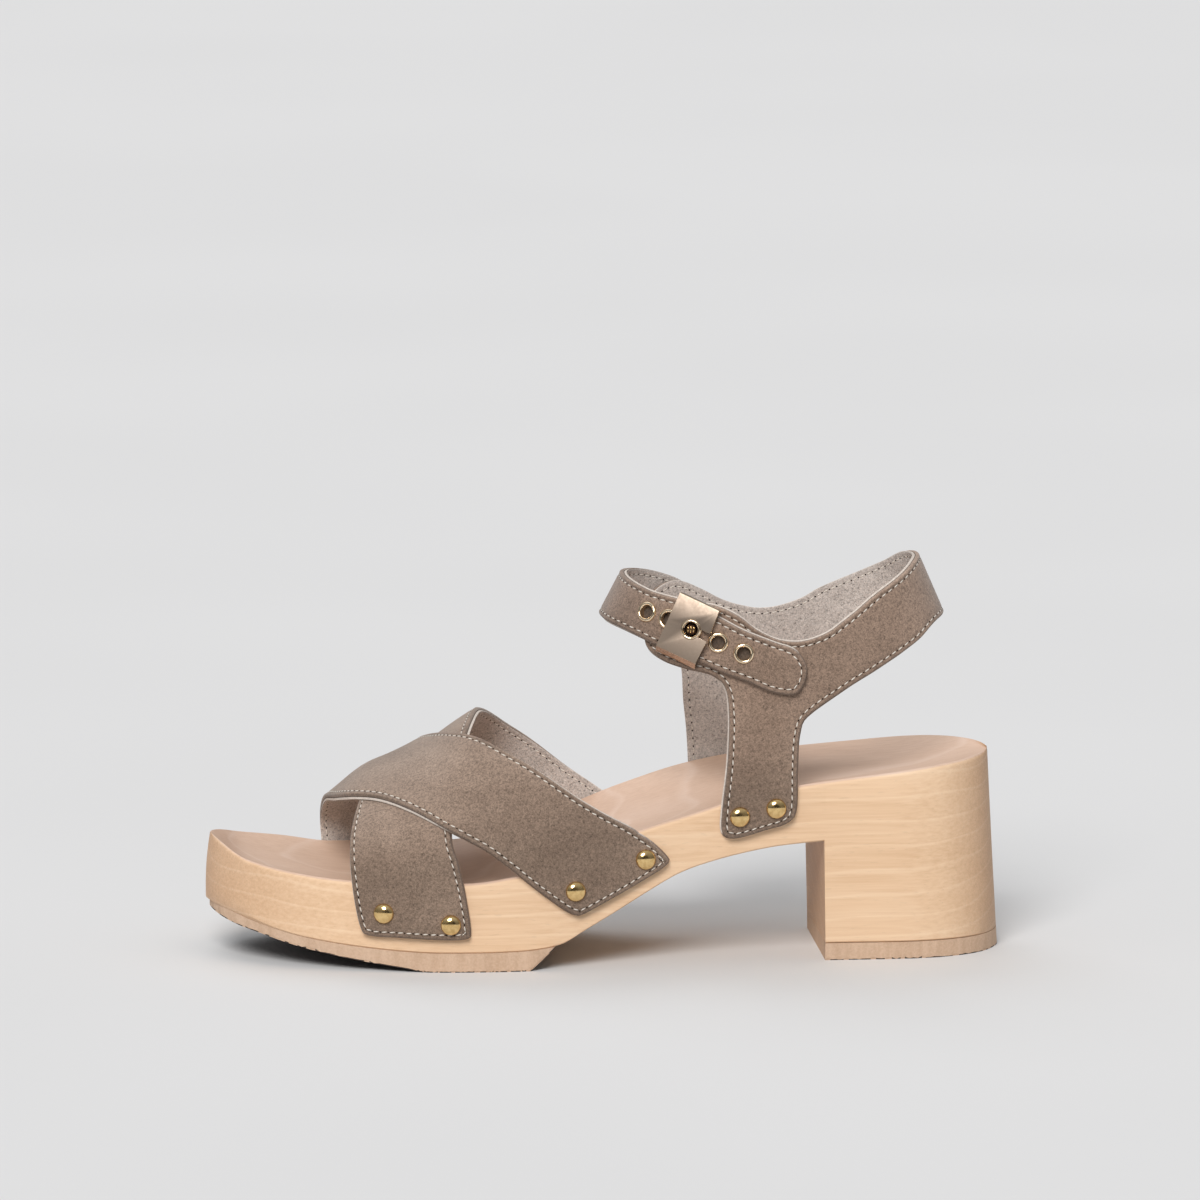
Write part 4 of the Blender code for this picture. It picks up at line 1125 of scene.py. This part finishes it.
def aimed(point, normal, right):
    """A placing at a point with Z along the normal and X near a direction."""
    z = normal.normalized()
    y = z.cross(right).normalized()
    x = y.cross(z)
    placing = Matrix((x, y, z)).transposed().to_4x4()
    placing.translation = point
    return placing


def turned_body(profile, steps):
    """A body spun about Z from its outline, given as radius and height."""
    bm = bmesh.new()
    verts = [bm.verts.new((radius, 0.0, height)) for radius, height in profile]
    edges = [bm.edges.new(pair) for pair in zip(verts, verts[1:])]
    spin = {"cent": (0, 0, 0), "axis": (0, 0, 1), "angle": 2 * math.pi}
    bmesh.ops.spin(bm, geom=verts + edges, steps=steps, use_merge=True, **spin)
    bmesh.ops.remove_doubles(bm, verts=bm.verts, dist=0.000001)
    bmesh.ops.dissolve_degenerate(bm, edges=bm.edges, dist=0.000001)
    bmesh.ops.recalc_face_normals(bm, faces=bm.faces)
    return bm


def tack_placing(place, height, side):
    """On the outside of the leather beside the sole, its Z outward."""
    s, z = place * SOLE_LENGTH, height * HEEL_HEIGHT
    step = 0.001

    def leather(at):
        if at < STRAPS_APART * SOLE_LENGTH:
            return plan_centre(at) + side * (plan_half(at) + GAP + LEATHER)
        return wood_side(at, z, side) + side * (GAP + LEATHER)

    slope = (leather(s + step) - leather(s - step)) / (2 * step)
    normal = Vector((-side * slope, side, 0.0))
    return aimed(Vector((s, leather(s), z)) + TOE_TIP, normal, Vector((0, 0, 1)))


def make_tacks():
    radius = TACK_HEAD / 2
    angles = np.linspace(0, math.pi / 2, 14)
    dome = [(radius * math.sin(angle), TACK_RISE * math.cos(angle) ** 0.85) for angle in angles]
    dome += [(radius * 0.99, -0.00025), (radius * 0.90, -0.0004), (0.0, -0.0004)]
    placings = [(row, -1) for row in TACKS_OUTER] + [(row, 1) for row in TACKS_INNER]
    for number, (row, side) in enumerate(placings, 1):
        head, node = f"tack_head_{number:02d}", f"tack_{number:02d}"
        finished(head, turned_body(dome, 36), [node], [BRASS], 60, tack_placing(*row, side))


def eyelet_placing(index):
    """On the buckle strap at an eyelet, with X along the row to the rear."""

    def at(number, height):
        turn, share = EYELETS[min(max(number, 0), len(EYELETS) - 1)]
        return ANKLE_SKIN.point(turn, share * ANKLE_TOP, height)

    skin = 2 * LEATHER + GAP
    point = at(index, skin)
    return aimed(point + TOE_TIP, at(index, skin + GAP) - point, at(index + 1, skin) - at(index - 1, skin))


def eyelet_holes():
    """The tool that opens the strap for the eyelets' barrels."""
    bm = bmesh.new()
    for index in range(len(EYELETS)):
        cylinder(bm, EYELET_HOLE / 2 + EYELET_WALL / 2, 4 * LEATHER, eyelet_placing(index))
    return bm


def make_eyelets():
    """Rolled rims with their barrels through the strap, and a dark disc of painted shade at the bottom of
    each.
    """
    hole, flange = EYELET_HOLE / 2, EYELET_FLANGE / 2
    middle, half = (hole + flange) / 2, (flange - hole) / 2
    barrel = hole + EYELET_WALL
    profile = [(middle + half * math.cos(a), EYELET_RISE * math.sin(a)) for a in np.linspace(0, math.pi, 14)]
    profile += [(hole, -LEATHER), (barrel, -LEATHER), (barrel, -0.0001), (flange, -0.0001), profile[0]]
    for index in range(len(EYELETS)):
        number, placing = index + 1, eyelet_placing(index)
        rim = turned_body(profile, 32)
        finished(f"eyelet_rim_{number}", rim, [f"eyelet_{number}"], [PALE_GOLD], 60, placing)
        # Painted shade: a dark disc down in each eyelet's barrel.
        depth = bmesh.new()
        sunk = Matrix.Translation((0, 0, -LEATHER * 0.8))
        cylinder(depth, hole + EYELET_WALL / 2, 0.0002, placing @ sunk)
        finished(f"eyelet_depth_{number}", depth, [], [GLUE_LINE_AND_HOLE_SHADE], 60)


def make_buckle():
    """A bent plate with a ringed hole, a slot to its rear edge and a lip below, and its stud."""
    placing = eyelet_placing(BUCKLE_EYELET)
    front, rear = -PLATE_LONG / 2 - PLATE_FORWARD, PLATE_LONG / 2 - PLATE_FORWARD + PLATE_MORE
    half = PLATE_ACROSS / 2
    inside = half - PLATE_THICK
    base = PLATE_TOP - PLATE_THICK
    lip = -half - PLATE_LIP
    profile = (
        (lip, PLATE_FOOT),
        (-half, PLATE_TOP),
        (0.0, PLATE_TOP),
        (half - PLATE_BEND, PLATE_TOP),
        (half - PLATE_BEND * 0.3, PLATE_TOP - PLATE_BEND * 0.3),
        (half, PLATE_TOP - PLATE_BEND),
        (half, PLATE_FOOT),
        (inside, PLATE_FOOT),
        (inside, base),
        (0.0, base),
        (-half, base),
        (lip + PLATE_THICK, PLATE_FOOT),
    )
    bm = bmesh.new()
    bm.faces.new([bm.verts.new((front, y, z)) for y, z in profile])
    made = bmesh.ops.extrude_face_region(bm, geom=bm.faces[:], use_keep_orig=True)
    moved = [item for item in made["geom"] if isinstance(item, bmesh.types.BMVert)]
    bmesh.ops.translate(bm, verts=moved, vec=(rear - front, 0, 0))
    for vert in moved:
        vert.co.x += PLATE_BULGE * (1 - abs(vert.co.y) / half)
    bmesh.ops.recalc_face_normals(bm, faces=bm.faces)
    plate = finished("plate", bm, ["buckle_plate"], [SATIN_GOLD_PAINTED_DARK, PALE_GOLD, COPPER_LIP], 35)
    opening = bmesh.new()
    cylinder(opening, PLATE_HOLE / 2, 6 * PLATE_THICK, Matrix.Translation((0, 0, PLATE_TOP)), 32)
    cut_by(plate, opening)
    slot = bmesh.new()
    reach = rear + 2 * PLATE_THICK
    size = Matrix.Diagonal((reach, PLATE_SLOT, 6 * PLATE_THICK, 1.0))
    bmesh.ops.create_cube(slot, size=1.0, matrix=Matrix.Translation((reach / 2, 0, PLATE_TOP)) @ size)
    cut_by(plate, slot)
    # The face gets the gold with its painted dark reflection; sides and bevels pale gold, the slanted lip
    # copper.
    for face in plate.data.polygons:
        slanted = face.normal.z < 0.9 and face.center.y < -half * 0.99
        face.material_index = 2 if slanted else 0 if face.normal.z > 0.9 else 1
    plate.data.transform(placing)
    bevel = plate.modifiers.new("soft_edges", "BEVEL")
    bevel.width = PLATE_EDGE
    bevel.segments = 3
    bevel.limit_method = "ANGLE"
    bevel.angle_limit = math.radians(35)
    bevel.material = 1

    hole, wall = PLATE_HOLE / 2, PLATE_RING / 2
    angles = np.linspace(0, math.pi, 12)
    ring = [(hole + wall + wall * math.cos(angle), PLATE_TOP + wall * math.sin(angle)) for angle in angles]
    ring += [(hole, base), (hole + wall, base), ring[0]]
    finished("plate_ring", turned_body(ring, 40), [], [PALE_GOLD], 60, placing)

    post = PRONG / 2
    head, foot = PLATE_TOP - STUD_SUNK, -LEATHER * 0.9
    stud = [(0.0, head), (post - 0.0003, head), (post, head - 0.0003), (post, foot), (0.0, foot)]
    # The stud is brass darkened by painted shade; its ribs are plain brass.
    finished("stud", turned_body(stud, 24), ["buckle_prong"], [BRASS_IN_HOLE_SHADE], 40, placing)
    ribs = bmesh.new()
    for number in (-1, 0, 1):
        rib = Matrix.Diagonal((PRONG * 0.17, PRONG * 0.68 if number else PRONG * 0.8, PRONG * 0.2, 1.0))
        rib = STUD_TURN @ Matrix.Translation((number * PRONG * 0.29, 0, head)) @ rib
        bmesh.ops.create_uvsphere(ribs, u_segments=12, v_segments=8, radius=0.5, matrix=rib)
    finished("stud_ribs", ribs, [], [BRASS], 60, placing)


STITCH = small_ball("stitch", 8, 6, (STITCH_LONG, STITCH_WIDE, STITCH_HIGH))
PUNCTURE = small_ball("puncture", 6, 4, (HOLE_WIDE, HOLE_WIDE, HOLE_WIDE * 0.4))
make_wood_sole()
make_rubber()
make_vamp()
make_ankle()
make_tacks()
make_eyelets()
make_buckle()


# Stage


def make_floor():
    bm = bmesh.new()
    bmesh.ops.create_grid(bm, x_segments=1, y_segments=1, size=9.0)
    floor = added("floor", as_mesh("floor", bm))
    tones = ((0.4, (0.713, 0.713, 0.719)), (0.6, (0.723, 0.723, 0.729)))
    floor.data.materials.append(speckled("studio_floor", (3.0, 1.0, 0.5), *tones, 0.9, 0.1))


def make_sun(name, come_from, softness, strength, colour=(1.0, 1.0, 1.0)):
    """A very large and distant softbox, so that the floor is lit evenly."""
    light = bpy.data.lights.new(name, "SUN")
    light.angle = math.radians(softness)
    light.energy = strength
    light.color = colour
    lamp = added(name, light)
    lamp.location = Vector(come_from)
    lamp.rotation_mode = "QUATERNION"
    lamp.rotation_quaternion = (-lamp.location).to_track_quat("-Z", "Y")


def make_world():
    """A pale ceiling that darkens towards the walls, with the dark room behind the camera."""
    world = bpy.data.worlds.new("studio")
    world.use_nodes = True
    tree = world.node_tree
    sky = split(tree, put(tree, "ShaderNodeTexCoord").outputs["Generated"])
    wall, high = (0.26, 0.262, 0.265), (0.42, 0.425, 0.43)
    upper, zenith = (0.75, 0.76, 0.77), (0.98, 1.0, 1.02)
    shade = ramp(tree, sky["Z"], (0.03, wall), (0.35, high), (0.7, upper), (1.0, zenith))
    dark_room = ramp(tree, maths(tree, "MULTIPLY", sky["Y"], -1.0), (0.84, 1.0), (0.95, 0.13))
    background = tree.nodes["Background"]
    tree.links.new(shaded(tree, shade, dark_room), background.inputs["Color"])
    background.inputs["Strength"].default_value = 0.56
    bpy.context.scene.world = world


def make_camera():
    """The photograph's viewpoint: a long lens a little left of square on and slightly above."""
    level = math.cos(CAMERA_ELEVATION)
    across, ahead = math.sin(CAMERA_AZIMUTH), math.cos(CAMERA_AZIMUTH)
    back = Vector((across * level, -ahead * level, math.sin(CAMERA_ELEVATION)))
    right = Vector((ahead, across, 0.0))
    data = bpy.data.cameras.new("camera")
    data.lens = CAMERA_LENS
    data.sensor_width = 36.0
    data.clip_end = 60.0
    camera = added("camera", data)
    camera.rotation_mode = "QUATERNION"
    camera.rotation_quaternion = Matrix((right, back.cross(right), back)).transposed().to_quaternion()
    camera.location = LOOK_AT + back * CAMERA_DISTANCE
    bpy.context.scene.camera = camera


make_floor()
make_sun("key_softbox", (-0.62, -2.0, 1.70), 27.0, 2.44, (1.0, 0.985, 0.965))
make_sun("rear_softbox", (-0.5, 1.6, 2.0), 40.0, 0.65)
make_world()
bpy.context.scene.view_settings.view_transform = "Standard"
make_camera()
